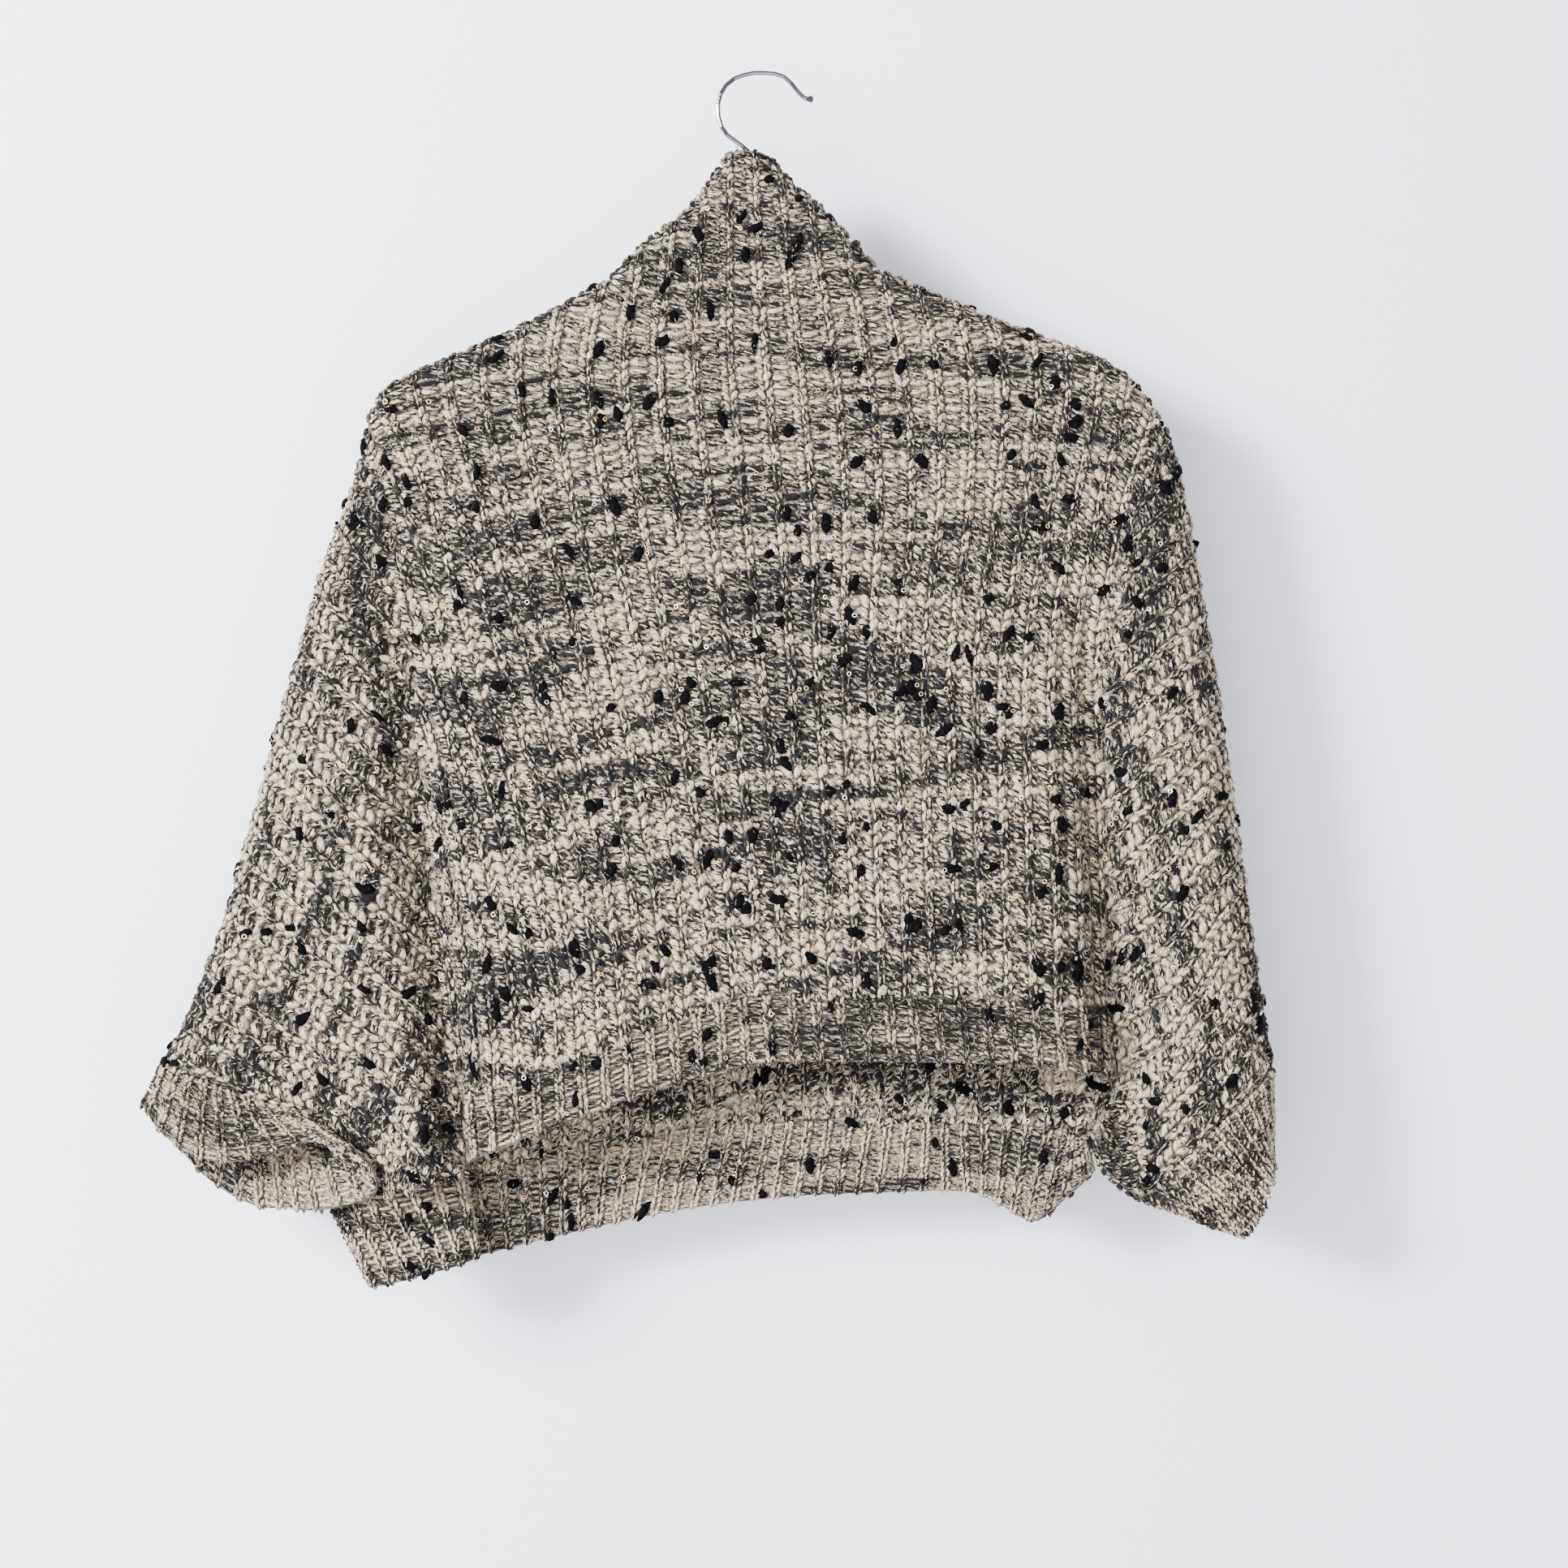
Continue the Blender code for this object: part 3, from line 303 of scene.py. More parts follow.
def panel_lines(rib_seam, left_end=(), right_end=()):
    """A body panel's lines: over the shoulders, its hem seam, its left and its right crease."""
    top = joined(SHOULDER_LEFT, NECK_BASE, SHOULDER_RIGHT)
    return top, smooth_line(rib_seam), joined(CREASE_LEFT, *left_end), joined(CREASE_RIGHT, *right_end)


def body_panel(side, lines):
    """The front or back: shoulder to shoulder across the top, crease to crease down the sides."""

    def shape_at(u, rows):
        where = inset(patch(*lines, u, np.array(rows)), SEAM_GAP / 2)
        places, normals = surface(where, side)
        on_shoulder = edge_distance(where[:, 0])[0] < ON_SHOULDER
        places[on_shoulder, 0, 1] = side * SEAM_GAP / 2
        neck = along_seam(where[:, 0], normals[:, 0])
        normals[0] = along_seam(where[0], normals[0])
        normals[-1] = along_seam(where[-1], normals[-1])
        normals[:, -1] = along_seam(where[:, -1], normals[:, -1])
        normals[on_shoulder, 0] = in_plane(normals[on_shoulder, 0], 1)
        normals[~on_shoulder, 0] = neck[~on_shoulder]
        return places, normals

    return shape_at


def inset(where, gap):
    """Pulls the side columns and the bottom row of a sheet in from its seams."""
    where = where.copy()
    for row, inner in ((0, 1), (-1, -2)):
        along = unit(np.gradient(where[row], axis=0))
        across = np.stack([-along[:, 1], along[:, 0]], axis=-1)
        inwards = where[inner] - where[row]
        sign = np.sign((across * inwards).sum(-1))
        sign[sign == 0] = 1.0
        where[row] += across * sign[:, None] * gap
    where[:, -1, 1] += gap
    return where


class Tap:
    """An output of a material's node, with arithmetic that adds the nodes it needs."""

    def __init__(self, tree, output=None):
        self.tree = tree
        self.output = output

    def node(self, kind, settings, values, output=0):
        made = self.tree.nodes.new("ShaderNode" + kind)
        for name, value in settings.items():
            setattr(made, name, value)
        for place, value in values.items():
            if isinstance(value, Tap):
                self.tree.links.new(value.output, made.inputs[place])
            else:
                made.inputs[place].default_value = value
        return Tap(self.tree, made.outputs[output])

    def maths(self, kind, a, b=0.0):
        return self.node("Math", {"operation": kind}, {0: a, 1: b})

    def __add__(self, other):
        return self.maths("ADD", self, other)

    def __radd__(self, other):
        return self.maths("ADD", other, self)

    def __sub__(self, other):
        return self.maths("SUBTRACT", self, other)

    def __rsub__(self, other):
        return self.maths("SUBTRACT", other, self)

    def __mul__(self, other):
        return self.maths("MULTIPLY", self, other)

    def __rmul__(self, other):
        return self.maths("MULTIPLY", other, self)

    def wave(self):
        return self.maths("SINE", self)

    def rise(self, low, high):
        """0 below one value, 1 above another, and a soft step between them."""
        settings = {"interpolation_type": "SMOOTHSTEP"}
        return self.node("MapRange", settings, {0: self, 1: low, 2: high, 3: 0.0, 4: 1.0})

    def mixed(self, share, a, b):
        return self.node("Mix", {"data_type": "RGBA"}, {0: share, 6: a, 7: b}, 2)

    def noise(self, place, size, detail=2.0, roughness=0.5):
        """Cloudy noise of about that size, in the units of the place it is read at."""
        values = {"Vector": place, "Scale": 1 / size, "Detail": detail, "Roughness": roughness}
        return self.node("TexNoise", {}, values)

    def bump(self, height, depth, strength=1.0):
        return self.node("Bump", {}, {"Strength": strength, "Distance": depth, "Height": height})


def new_material(name, roughness, metallic=0.0):
    """A material, the maker of its nodes, its object coordinates and its shader's inputs."""
    material = bpy.data.materials.new(name)
    material.use_nodes = True
    shader = material.node_tree.nodes["Principled BSDF"]
    shader.inputs["Roughness"].default_value = roughness
    shader.inputs["Metallic"].default_value = metallic
    paint = Tap(material.node_tree)
    return material, paint, paint.node("TexCoord", {}, {}, 3), shader.inputs


def feed(tap, socket):
    tap.tree.links.new(tap.output, socket)


FULL_TURN = 6.2832
ECRU = (0.46, 0.365, 0.265, 1.0)
CREAM = (0.97, 0.85, 0.69, 1.0)
TAUPE = (0.085, 0.068, 0.056, 1.0)
TAN = (0.40, 0.245, 0.125, 1.0)
NAVY = (0.0010, 0.0011, 0.0025, 1.0)
SOOT = (0.022, 0.020, 0.023, 1.0)
PAINTED_SHADE = (0.055, 0.043, 0.035, 1.0)
GOLD_STRAND = (0.50, 0.27, 0.09, 1.0)


def yarn_material(name, plies):
    """Marled yarn: ecru fibres, sooty smudges, a dark strand in dashes, tan and gold flecks, and painted
    shade on the low side of each grain.
    """
    material, paint, place, inputs = new_material(name, roughness=0.9)
    inputs["Sheen Weight"].default_value = 0.05
    inputs["Sheen Roughness"].default_value = 0.6
    inputs["Specular IOR Level"].default_value = 0.06
    tone, band, crown = (
        paint.node("Attribute", {"attribute_name": word}, {}, 2) for word in ("tone", "band", "crown")
    )
    uv = paint.node("UVMap", {"uv_map": "yarn"}, {})
    around, along = (paint.node("SeparateXYZ", {}, {0: uv}, part) for part in (0, 1))
    twist = around + along * 0.8
    strand = paint.node("CombineXYZ", {}, {0: twist * 8.0, 1: along * 1.6, 2: tone * 91.0})
    fibre = paint.noise(strand, size=1.0, detail=3.0, roughness=0.65)
    ply = (twist * (plies * FULL_TURN)).wave()
    cloud = paint.noise(place, size=0.0036, detail=2.0, roughness=0.6)
    hair = paint.noise(place, size=0.0009, detail=2.0, roughness=0.6)
    light = fibre * 0.9 + cloud * 0.55 + hair * 0.35 + ply * 0.05 + tone * 0.12
    cloth = paint.mixed(light.rise(0.70, 1.14), ECRU, CREAM)
    cloth = paint.mixed((1.0 - light).rise(0.04, 0.36) * 0.85, cloth, TAUPE)
    cloth = paint.mixed((cloud + hair * 0.6 + tone * 0.1).rise(0.88, 1.0) * 0.7, cloth, TAN)
    fleck = paint.noise(place, size=0.0014, detail=1.0, roughness=0.5)
    cloth = paint.mixed((fleck + tone * 0.05).rise(0.655, 0.70) * 0.8, cloth, GOLD_STRAND)
    # Painted shade: each grain darkens towards its low side, where it dips under the stitches beside it.
    cloth = paint.mixed((1.0 - crown.rise(0.0, 0.72)) * 0.6, cloth, PAINTED_SHADE)
    smudge = paint.noise(place, size=0.0032, detail=3.0, roughness=0.65) + band * 0.20
    cloth = paint.mixed(smudge.rise(0.62, 0.74) * 0.5, cloth, SOOT)
    thread = paint.node("CombineXYZ", {}, {0: twist * 7.2, 1: along * 3.4, 2: tone * 53.0})
    dash = paint.noise(thread, size=1.0, detail=2.0, roughness=0.55) + ply * 0.06 + band * 0.22
    cloth = paint.mixed(dash.rise(0.61, 0.64), cloth, NAVY)
    feed(cloth, inputs["Base Color"])
    fluff = paint.noise(place, size=0.0008, detail=3.0, roughness=0.7)
    feed(paint.bump(ply * 0.6 + fluff * 2.2 + fibre * 1.6, depth=0.0011), inputs["Normal"])
    return material


def ground_material(name, shaded_yarn_colour):
    """The cloth behind the stitches: felted loops in the same yarn, seen in the gutters; its base colour
    is the yarn darkened as painted shade, with ecru loops and dark specks of the yarn.
    """
    material, paint, place, inputs = new_material(name, roughness=0.95)
    cloud = paint.noise(place, size=0.004, detail=3.0, roughness=0.6)
    loops = paint.noise(place, size=0.0034, detail=1.0, roughness=0.5)
    speck = paint.noise(place, size=0.0022, detail=2.0, roughness=0.6)
    tone = tuple(0.45 * part for part in shaded_yarn_colour[:3]) + (1.0,)
    mixed = paint.mixed(cloud.rise(0.35, 0.65), tone, shaded_yarn_colour)
    mixed = paint.mixed(loops.rise(0.50, 0.62) * 0.8, mixed, ECRU)
    mixed = paint.mixed(speck.rise(0.55, 0.62) * 0.9, mixed, NAVY)
    feed(mixed, inputs["Base Color"])
    feed(paint.bump(cloud + speck + loops * 3.0, depth=0.0030), inputs["Normal"])
    return material


knit_yarn = yarn_material("heather_knit_yarn", 3)
# The ground's colour is the yarn's own, darkened as painted shade for the gutters between the stitches.
knit_ground = ground_material("heather_knit_ground", (0.24, 0.205, 0.17, 1.0))


def add_piece(name, points, faces, material, uv=None, values=None):
    """A smooth piece from points in millimetres and faces that all have as many corners."""
    faces = np.asarray(faces)
    mesh = bpy.data.meshes.new(name)
    mesh.vertices.add(len(points))
    mesh.vertices.foreach_set("co", (np.asarray(points) * MM).ravel())
    mesh.loops.add(faces.size)
    mesh.loops.foreach_set("vertex_index", faces.ravel())
    mesh.polygons.add(len(faces))
    mesh.polygons.foreach_set("loop_start", np.arange(len(faces)) * faces.shape[1])
    mesh.update(calc_edges=True)
    if uv is not None:
        mesh.uv_layers.new(name="yarn").uv.foreach_set("vector", uv.ravel())
    for word, value in (values or {}).items():
        mesh.attributes.new(word, "FLOAT", "POINT").data.foreach_set("value", value)
    mesh.validate()
    mesh.materials.append(material)
    mesh.shade_smooth()
    item = bpy.data.objects.new(name, mesh)
    bpy.context.scene.collection.objects.link(item)
    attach(item, "root")
    return item


WALL = 4.0  # depth of the cloth's plain inside below its outer face
GROUND = 1.4  # depth of the ground behind the stitches
WALL_STEP = 6.0  # spacing of the wall's points


def cloth_wall(name, shape_at, columns, rows, material, closed=False, ground=GROUND, wall=WALL):
    """The cloth behind the stitches: an outer and an inner face joined along their rims."""
    u = np.linspace(0.0, 1.0, columns + 1)
    if closed:
        u = u[:-1]
    places, normals = shape_at(u, rows)
    n_u, n_v = places.shape[:2]
    layers = [places - normals * ground, places - normals * wall]
    points = np.vstack([layer.reshape(-1, 3) for layer in layers])

    def at(i, j, layer):
        return layer * n_u * n_v + (i % n_u) * n_v + j

    i, j = (part.ravel() for part in np.meshgrid(np.arange(columns), np.arange(n_v - 1), indexing="ij"))
    k, m = np.arange(columns), np.arange(n_v - 1)
    quads = [
        (at(i, j, 0), at(i, j + 1, 0), at(i + 1, j + 1, 0), at(i + 1, j, 0)),
        (at(i, j, 1), at(i + 1, j, 1), at(i + 1, j + 1, 1), at(i, j + 1, 1)),
        (at(k, 0, 0), at(k + 1, 0, 0), at(k + 1, 0, 1), at(k, 0, 1)),
        (at(k, n_v - 1, 1), at(k + 1, n_v - 1, 1), at(k + 1, n_v - 1, 0), at(k, n_v - 1, 0)),
    ]
    if not closed:
        quads.append((at(0, m, 1), at(0, m + 1, 1), at(0, m + 1, 0), at(0, m, 0)))
        quads.append((at(columns, m, 0), at(columns, m + 1, 0), at(columns, m + 1, 1), at(columns, m, 1)))
    faces = np.vstack([np.stack(np.broadcast_arrays(*quad), axis=-1) for quad in quads])
    a, b, c, d = points[faces].transpose(1, 0, 2)
    if ((a * np.cross(b, c)).sum() + (a * np.cross(c, d)).sum()) < 0:
        faces = faces[:, ::-1]
    return add_piece(name, points, faces, material)


def even(start, end, length, step=WALL_STEP):
    """Shares from one to another in steps of about so many millimetres of a length."""
    return np.linspace(start, end, max(2, int(np.ceil(length * (end - start) / step)) + 1))


def taken(item):
    """Points, triangles and yarn coordinates of a modelled shape, which is then removed."""
    mesh = item.data
    mesh.calc_loop_triangles()
    points = np.array([vertex.co for vertex in mesh.vertices])
    faces = np.array([face.vertices[:] for face in mesh.loop_triangles])
    corners = [[mesh.uv_layers.active.uv[k].vector[:] for k in face.loops] for face in mesh.loop_triangles]
    bpy.data.objects.remove(item)
    return points, faces, np.array(corners)


def grain(sides, rings, taper):
    """A plump grain of yarn one unit to each end, thicker at one end."""
    bpy.ops.mesh.primitive_uv_sphere_add(segments=sides, ring_count=rings, radius=1.0)
    item = bpy.context.object
    narrowing = item.modifiers.new("narrowing", "SIMPLE_DEFORM")
    narrowing.deform_method = "TAPER"
    narrowing.deform_axis = "Z"
    narrowing.factor = taper
    bpy.ops.object.modifier_apply(modifier="narrowing")
    return taken(item)


LEG = grain(sides=6, rings=4, taper=-0.45)
BAR = grain(sides=5, rings=3, taper=0.0)


def repeated(shape, place, over, out, down):
    """A shape laid at many places, each with arms for its width, thickness and length."""
    points, faces, uv = shape
    arms = np.stack([over, out, down], axis=1)
    laid = place[:, None] + points @ arms
    if np.linalg.det(arms).mean() < 0:
        faces, uv = faces[:, ::-1], uv[:, ::-1]
    faces = faces[None] + (np.arange(len(place)) * len(points))[:, None, None]
    return laid.reshape(-1, 3), faces.reshape(-1, 3), np.tile(uv.reshape(-1, 2), (len(place), 1))


def put_together(parts):
    """Several repeated shapes as one set of points, faces and coordinates."""
    starts = np.cumsum([0] + [len(part[0]) for part in parts[:-1]])
    return (
        np.vstack([part[0] for part in parts]),
        np.vstack([part[1] + start for part, start in zip(parts, starts)]),
        np.vstack([part[2] for part in parts]),
    )


# The body's wales by level: z, then the x of every fourth wale from 20 before the middle one
WALE_NUMBERS = [-20, -16, -12, -8, -4, 0, 4, 8, 12, 16]
WALE_LEVELS = [
    (-30.0, -255.0, -205.0, -150.0, -100.0, -50.0, -3.0, 48.0, 98.0, 148.0, 198.0),
    (-53.0, -260.0, -210.0, -157.0, -105.0, -55.8, -1.2, 53.4, 102.0, 152.0, 204.0),
    (-108.0, -345.0, -275.0, -205.0, -135.0, -65.8, 1.5, 68.9, 137.0, 205.0, 275.0),
    (-167.0, -395.0, -314.0, -233.7, -154.1, -74.5, 5.2, 82.5, 157.6, 228.0, 300.0),
    (-244.6, -305.0, -252.0, -198.7, -140.9, -66.3, 12.0, 86.6, 150.8, 206.3, 262.0),
    (-326.5, -280.0, -226.9, -174.6, -117.2, -50.8, 17.5, 79.3, 137.6, 192.2, 247.0),
    (-408.4, -252.0, -200.5, -149.5, -94.9, -37.1, 22.5, 79.8, 136.7, 193.1, 249.5),
    (-485.7, -226.9, -179.1, -130.4, -80.4, -28.5, 26.1, 82.5, 138.9, 194.9, 251.0),
    (-549.4, -215.5, -169.6, -122.2, -74.9, -25.8, 27.9, 83.4, 139.4, 194.9, 251.0),
    (-660.0, -212.0, -166.0, -119.0, -72.0, -24.0, 29.0, 84.0, 140.0, 195.5, 251.0),
]
# How the courses sag: x, drop of a course there below where it is level
COURSE_DROPS = [(-172.0, 40.0), (-127.0, 27.0), (-49.0, 9.8), (5.0, 2.7), (60.0, 0.0)]
COURSE_START = -300.0  # level where the courses are counted from
# Heights of a row of stitches by level: z, height
ROW_HEIGHTS = [
    (-690.0, 6.3), (-560.0, 6.4), (-480.0, 6.5), (-400.0, 6.7), (-320.0, 6.7), (-245.0, 5.8),
    (-167.0, 4.7), (-108.0, 4.2), (-40.0, 4.2),
]


def body_wale(number):
    """The line that a wale of the body follows down the cloth, as (x, z)."""
    table = np.array(WALE_LEVELS)
    across = [np.interp(number, WALE_NUMBERS, row[1:]) for row in table]
    return smooth_line(np.stack([across, table[:, 0]], axis=-1), 16)


def row_height(z):
    heights = np.array(ROW_HEIGHTS)
    return np.interp(z, heights[:, 0], heights[:, 1])


def inside(points, outline):
    """Which points lie within a closed outline."""
    x, z = points.T
    a, b = outline, np.roll(outline, -1, axis=0)
    crosses = (a[:, 1] > z[:, None]) != (b[:, 1] > z[:, None])
    rise = np.where(np.abs(b[:, 1] - a[:, 1]) < 1e-9, 1e-9, b[:, 1] - a[:, 1])
    at_x = a[:, 0] + (z[:, None] - a[:, 1]) * (b[:, 0] - a[:, 0]) / rise
    return (crosses & (x[:, None] < at_x)).sum(1) % 2 == 1


def both(*cells):
    """Several sets of cells as one."""
    return [np.concatenate(part) for part in zip(*cells)]


def stitch_cells(wale_line, numbers, side, outline, first_row):
    """The cells of a side's stitches: place, over, out, down, pitch, height, wale and row."""
    wales = []
    for number in numbers:
        line, before, after = (wale_line(number + part) for part in (0.0, -0.5, 0.5))
        places = surface(line, side)[0]
        steps = np.linalg.norm(np.diff(places, axis=0), axis=1) / row_height(line[1:, 1])
        rows = np.concatenate([[0.0], np.cumsum(steps)])
        rows += first_row(number, line, rows)
        wanted = np.arange(np.ceil(rows[0]), rows[-1])
        flat = read_columns(wanted, rows, line)
        down = unit(read_columns(wanted, rows, unit(np.gradient(line, axis=0))))
        over = np.stack([-down[:, 1], down[:, 0]], axis=-1)
        pitch = (read_columns(wanted, rows, after - before) * over).sum(1)
        names = np.stack([np.full(len(wanted), float(number)), wanted], axis=-1)
        wales.append((flat, over * np.sign(pitch)[:, None], down, np.abs(pitch), names))
    flat, over, down, pitch, names = both(*wales)
    keep = inside(flat, outline)
    flat, over, down, pitch, names = (part[keep] for part in (flat, over, down, pitch, names))
    place, out = surface(flat, side)
    down = on_cloth(down, out)
    across = on_cloth(over, out)
    over = np.cross(out, down)
    over = over * np.sign((over * across).sum(1))[:, None]
    return place, over, out, down, pitch, row_height(flat[:, 1]), names


def on_cloth(flat, out):
    """Unit vectors in the cloth that lie over directions given as (x, z)."""
    drop = -np.sign(out[:, 1]) * (out[:, 0] * flat[:, 0] + out[:, 2] * flat[:, 1])
    level = np.maximum(np.abs(out[:, 1]), 1e-3)
    return unit(np.stack([flat[:, 0] * level, drop, flat[:, 1] * level], axis=-1))


def edge_cells(line, spacing, height):
    """Cells of the stitches that go over a folded edge, from one end of its line to the other."""
    length = np.linalg.norm(np.diff(line, axis=0), axis=1).sum()
    count = int(length / spacing)
    flat = at_shares(line, (np.arange(count) + 0.5) / count)
    along = unit(np.gradient(flat, axis=0))
    zero = np.zeros(count)
    place = np.stack([flat[:, 0], zero, flat[:, 1]], axis=-1)
    over = np.stack([along[:, 0], zero, along[:, 1]], axis=-1)
    out = np.stack([-along[:, 1], zero, along[:, 0]], axis=-1)
    down = np.tile([0.0, -1.0, 0.0], (count, 1))
    names = np.stack([flat[:, 0] / spacing, flat[:, 1] / height], axis=-1)
    return place, over, out, down, np.full(count, spacing), np.full(count, height), names


rng = np.random.default_rng(5)
CLOUDS = rng.random((64, 64))
PATCH_WALES = 2.8  # wales from one change of the yarn's tone to the next
PATCH_ROWS = 1.6
PATCH_START = (20.0, 9.0)  # where in the clouds the middle wale and the first course lie
PATCH_CONTRAST = 2.2


def patches(names):
    """Slow changes of the yarn from light to dark: long along a course, short down a wale."""
    u, v = (names / (PATCH_WALES, PATCH_ROWS) + PATCH_START).T
    total = 0.0
    for scale, share in ((1.0, 0.6), (2.1, 0.4)):
        a, b = u * scale, v * scale
        i, j = np.floor(a).astype(int), np.floor(b).astype(int)
        s, t = a - i, b - j
        s, t = s * s * (3 - 2 * s), t * t * (3 - 2 * t)
        c = [CLOUDS[(i + m) % 64, (j + n) % 64] for m, n in ((0, 0), (1, 0), (0, 1), (1, 1))]
        upper, lower = c[0] * (1 - s) + c[1] * s, c[2] * (1 - s) + c[3] * s
        total = total + share * (upper * (1 - t) + lower * t)
    return np.clip((total - 0.5) * PATCH_CONTRAST + 0.5, 0.0, 1.0)


LEG_SLANT = 0.55  # how far a leg leans from its wale, as a tangent
LEG_TILT = 0.14  # how far its foot stands out, likewise
LEG_LENGTH = 0.72  # half length of a leg for a row's height of one
LEG_THICK = 1.75
LEG_SHIFTS = [0.25, 0.40, 0.30]  # how far by chance it lies off its place: over, down, out
BAR_THICK = 1.6
BAR_TUCK = 1.3  # how far each end of a bar goes in under the legs beside it
LEAST_GAP = -1.2  # a gutter narrower than this has no bars
GAP_LEGS = 3.9  # half widths of a leg that a gutter's two neighbours take from its pitch


def width_of_leg(leg_half, pitch, height):
    """Half width of a leg: the one given, or else as plump as its cell allows."""
    if leg_half is None:
        return np.minimum(0.34 * height + 0.32, 0.27 * pitch)
    return leg_half


def legs_of(cells, leg, leg_half, leg_length, slant, lift):
    """Two plump legs to a stitch, leaning together at its foot."""
    place, over, out, down, pitch, height, names = cells
    count = len(place)
    band = patches(names)
    leg_half = width_of_leg(leg_half, pitch, height)
    parts = []
    for hand in (-1.0, 1.0):
        lean = slant * (1 + rng.normal(0.0, 0.25, count))
        axis = unit(down - hand * lean[:, None] * over + LEG_TILT * out)
        wide = np.cross(axis, out)
        wide = unit(wide) * np.sign((wide * over).sum(1))[:, None]
        shifts = rng.normal(0.0, 1.0, (3, count, 1)) * np.array(LEG_SHIFTS)[:, None, None]
        middle = place + over * (shifts[0] + hand * np.reshape(leg_half * 1.02, (-1, 1)))
        middle = middle + down * shifts[1] + out * (lift + shifts[2])
        wideness = leg_half * (1 + rng.normal(0.0, 0.11, count))
        thickness = LEG_THICK * (1 + rng.normal(0.0, 0.08, count))
        arms = [wide * wideness[:, None], out * thickness[:, None], axis * (leg_length * height)[:, None]]
        parts.append((leg, repeated(leg, middle, *arms), band))
    return parts


def bars_of(cells, bar, leg_half, sink):
    """The purl bars in the gutters between two wales."""
    place, over, out, down, pitch, height, names = cells
    gap = pitch - GAP_LEGS * width_of_leg(leg_half, pitch, height)
    wanted = gap > LEAST_GAP
    gap, count = gap[wanted], wanted.sum()
    place, over, out, down, height, names = (
        part[wanted] for part in (place, over, out, down, height, names)
    )
    middle = place - out * sink + down * rng.normal(0.0, 0.3, count)[:, None]
    lengthwise = unit(over + rng.normal(0.0, 0.10, count)[:, None] * down)
    half = np.maximum(gap, 0.8) / 2 + BAR_TUCK
    narrow = unit(np.cross(lengthwise, out))
    arms = [narrow * (0.42 * height)[:, None], out * BAR_THICK, lengthwise * half[:, None]]
    return [(bar, repeated(bar, middle, *arms), patches(names) + 0.1)]


def stitch_piece(
    name, cells, gutters, material, leg=LEG, bar=BAR, leg_half=None, leg_length=LEG_LENGTH,
    slant=LEG_SLANT, lift=0.25, sink=0.55,
):
    """A face of knitted stitches on its cells, with bars in its gutters."""
    parts = legs_of(cells, leg, leg_half, leg_length, slant, lift)
    parts = parts + bars_of(gutters, bar, leg_half, sink)
    points, faces, uv = put_together([part for _, part, _ in parts])
    tones, bands, crowns = [], [], []
    for shape, part, band in parts:
        tones.append(np.repeat(rng.random(len(band)), len(shape[0])))
        uneven = np.clip(band + rng.normal(0.0, 0.2, len(band)), 0.0, 1.0)
        bands.append(np.repeat(uneven, len(shape[0])))
        # Height on each grain, which the yarn's material turns into painted shade towards the low side.
        crowns.append(np.tile(shape[0][:, 1], len(band)))
    tones, bands, crowns = (np.concatenate(part) for part in (tones, bands, crowns))
    values = {"tone": tones, "band": bands, "crown": crowns}
    return add_piece(name, points, faces, material, uv, values)


def body_outline(lines):
    """The outline of a body panel, once round from the left shoulder."""
    top, bottom, left, right = lines
    return np.vstack([top, right, bottom[::-1], left[::-1]])


def from_course_start(number, line, rows):
    """Counts a wale's rows from the course that sags as the cloth does."""
    x = np.interp(-COURSE_START, -line[:, 1], line[:, 0])
    drops = np.array(COURSE_DROPS)
    start = COURSE_START - np.interp(x, drops[:, 0], drops[:, 1])
    return -np.interp(-start, -line[:, 1], rows)


BODY_WALES = np.arange(-19, 16)
PANEL_COLUMNS = 62
SHOULDER_ROWS = [0.0, 0.006, 0.014, 0.024, 0.036]  # rows close to the shoulder's fold, as shares


def panel_rows(length):
    """Shares down a panel of that length, close together at the shoulder's fold."""
    return np.concatenate([SHOULDER_ROWS, even(0.05, 1.0, length)])


front_lines = panel_lines(RIB_SEAM_FRONT)
front_cloth = cloth_wall(
    "front_cloth", body_panel(-1, front_lines), PANEL_COLUMNS, panel_rows(400.0), knit_ground,
)
EDGE_STITCH = 10.0  # width of the stitches that go over a folded edge
shoulder_cells = both(
    edge_cells(smooth_line(SHOULDER_LEFT), EDGE_STITCH, height=5.6),
    edge_cells(smooth_line(SHOULDER_RIGHT), EDGE_STITCH, height=5.6),
)


def body_cells(side, shift, outline):
    """The stitches and the gutters of a side of the body within an outline."""
    stitches, gutters = (
        stitch_cells(body_wale, BODY_WALES + shift + half, side, outline, from_course_start)
        for half in (0.0, 0.5)
    )
    return stitches, gutters


front_cells, front_gutters = body_cells(-1, 0.0, body_outline(front_lines))
front_stitches = stitch_piece(
    "front_stitches", both(front_cells, shoulder_cells), front_gutters, knit_yarn
)
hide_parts("front")


# Back panel
# The same knit as the front, but longer, so that its inside shows below the front's hem.
# The lowest part of its inside carries stitches too.
INSIDE_TOP = -500.0  # the back's inside is seen below this level only
BACK_SHIFT = 0.3  # the back's wales stand this share of a wale beside the front's
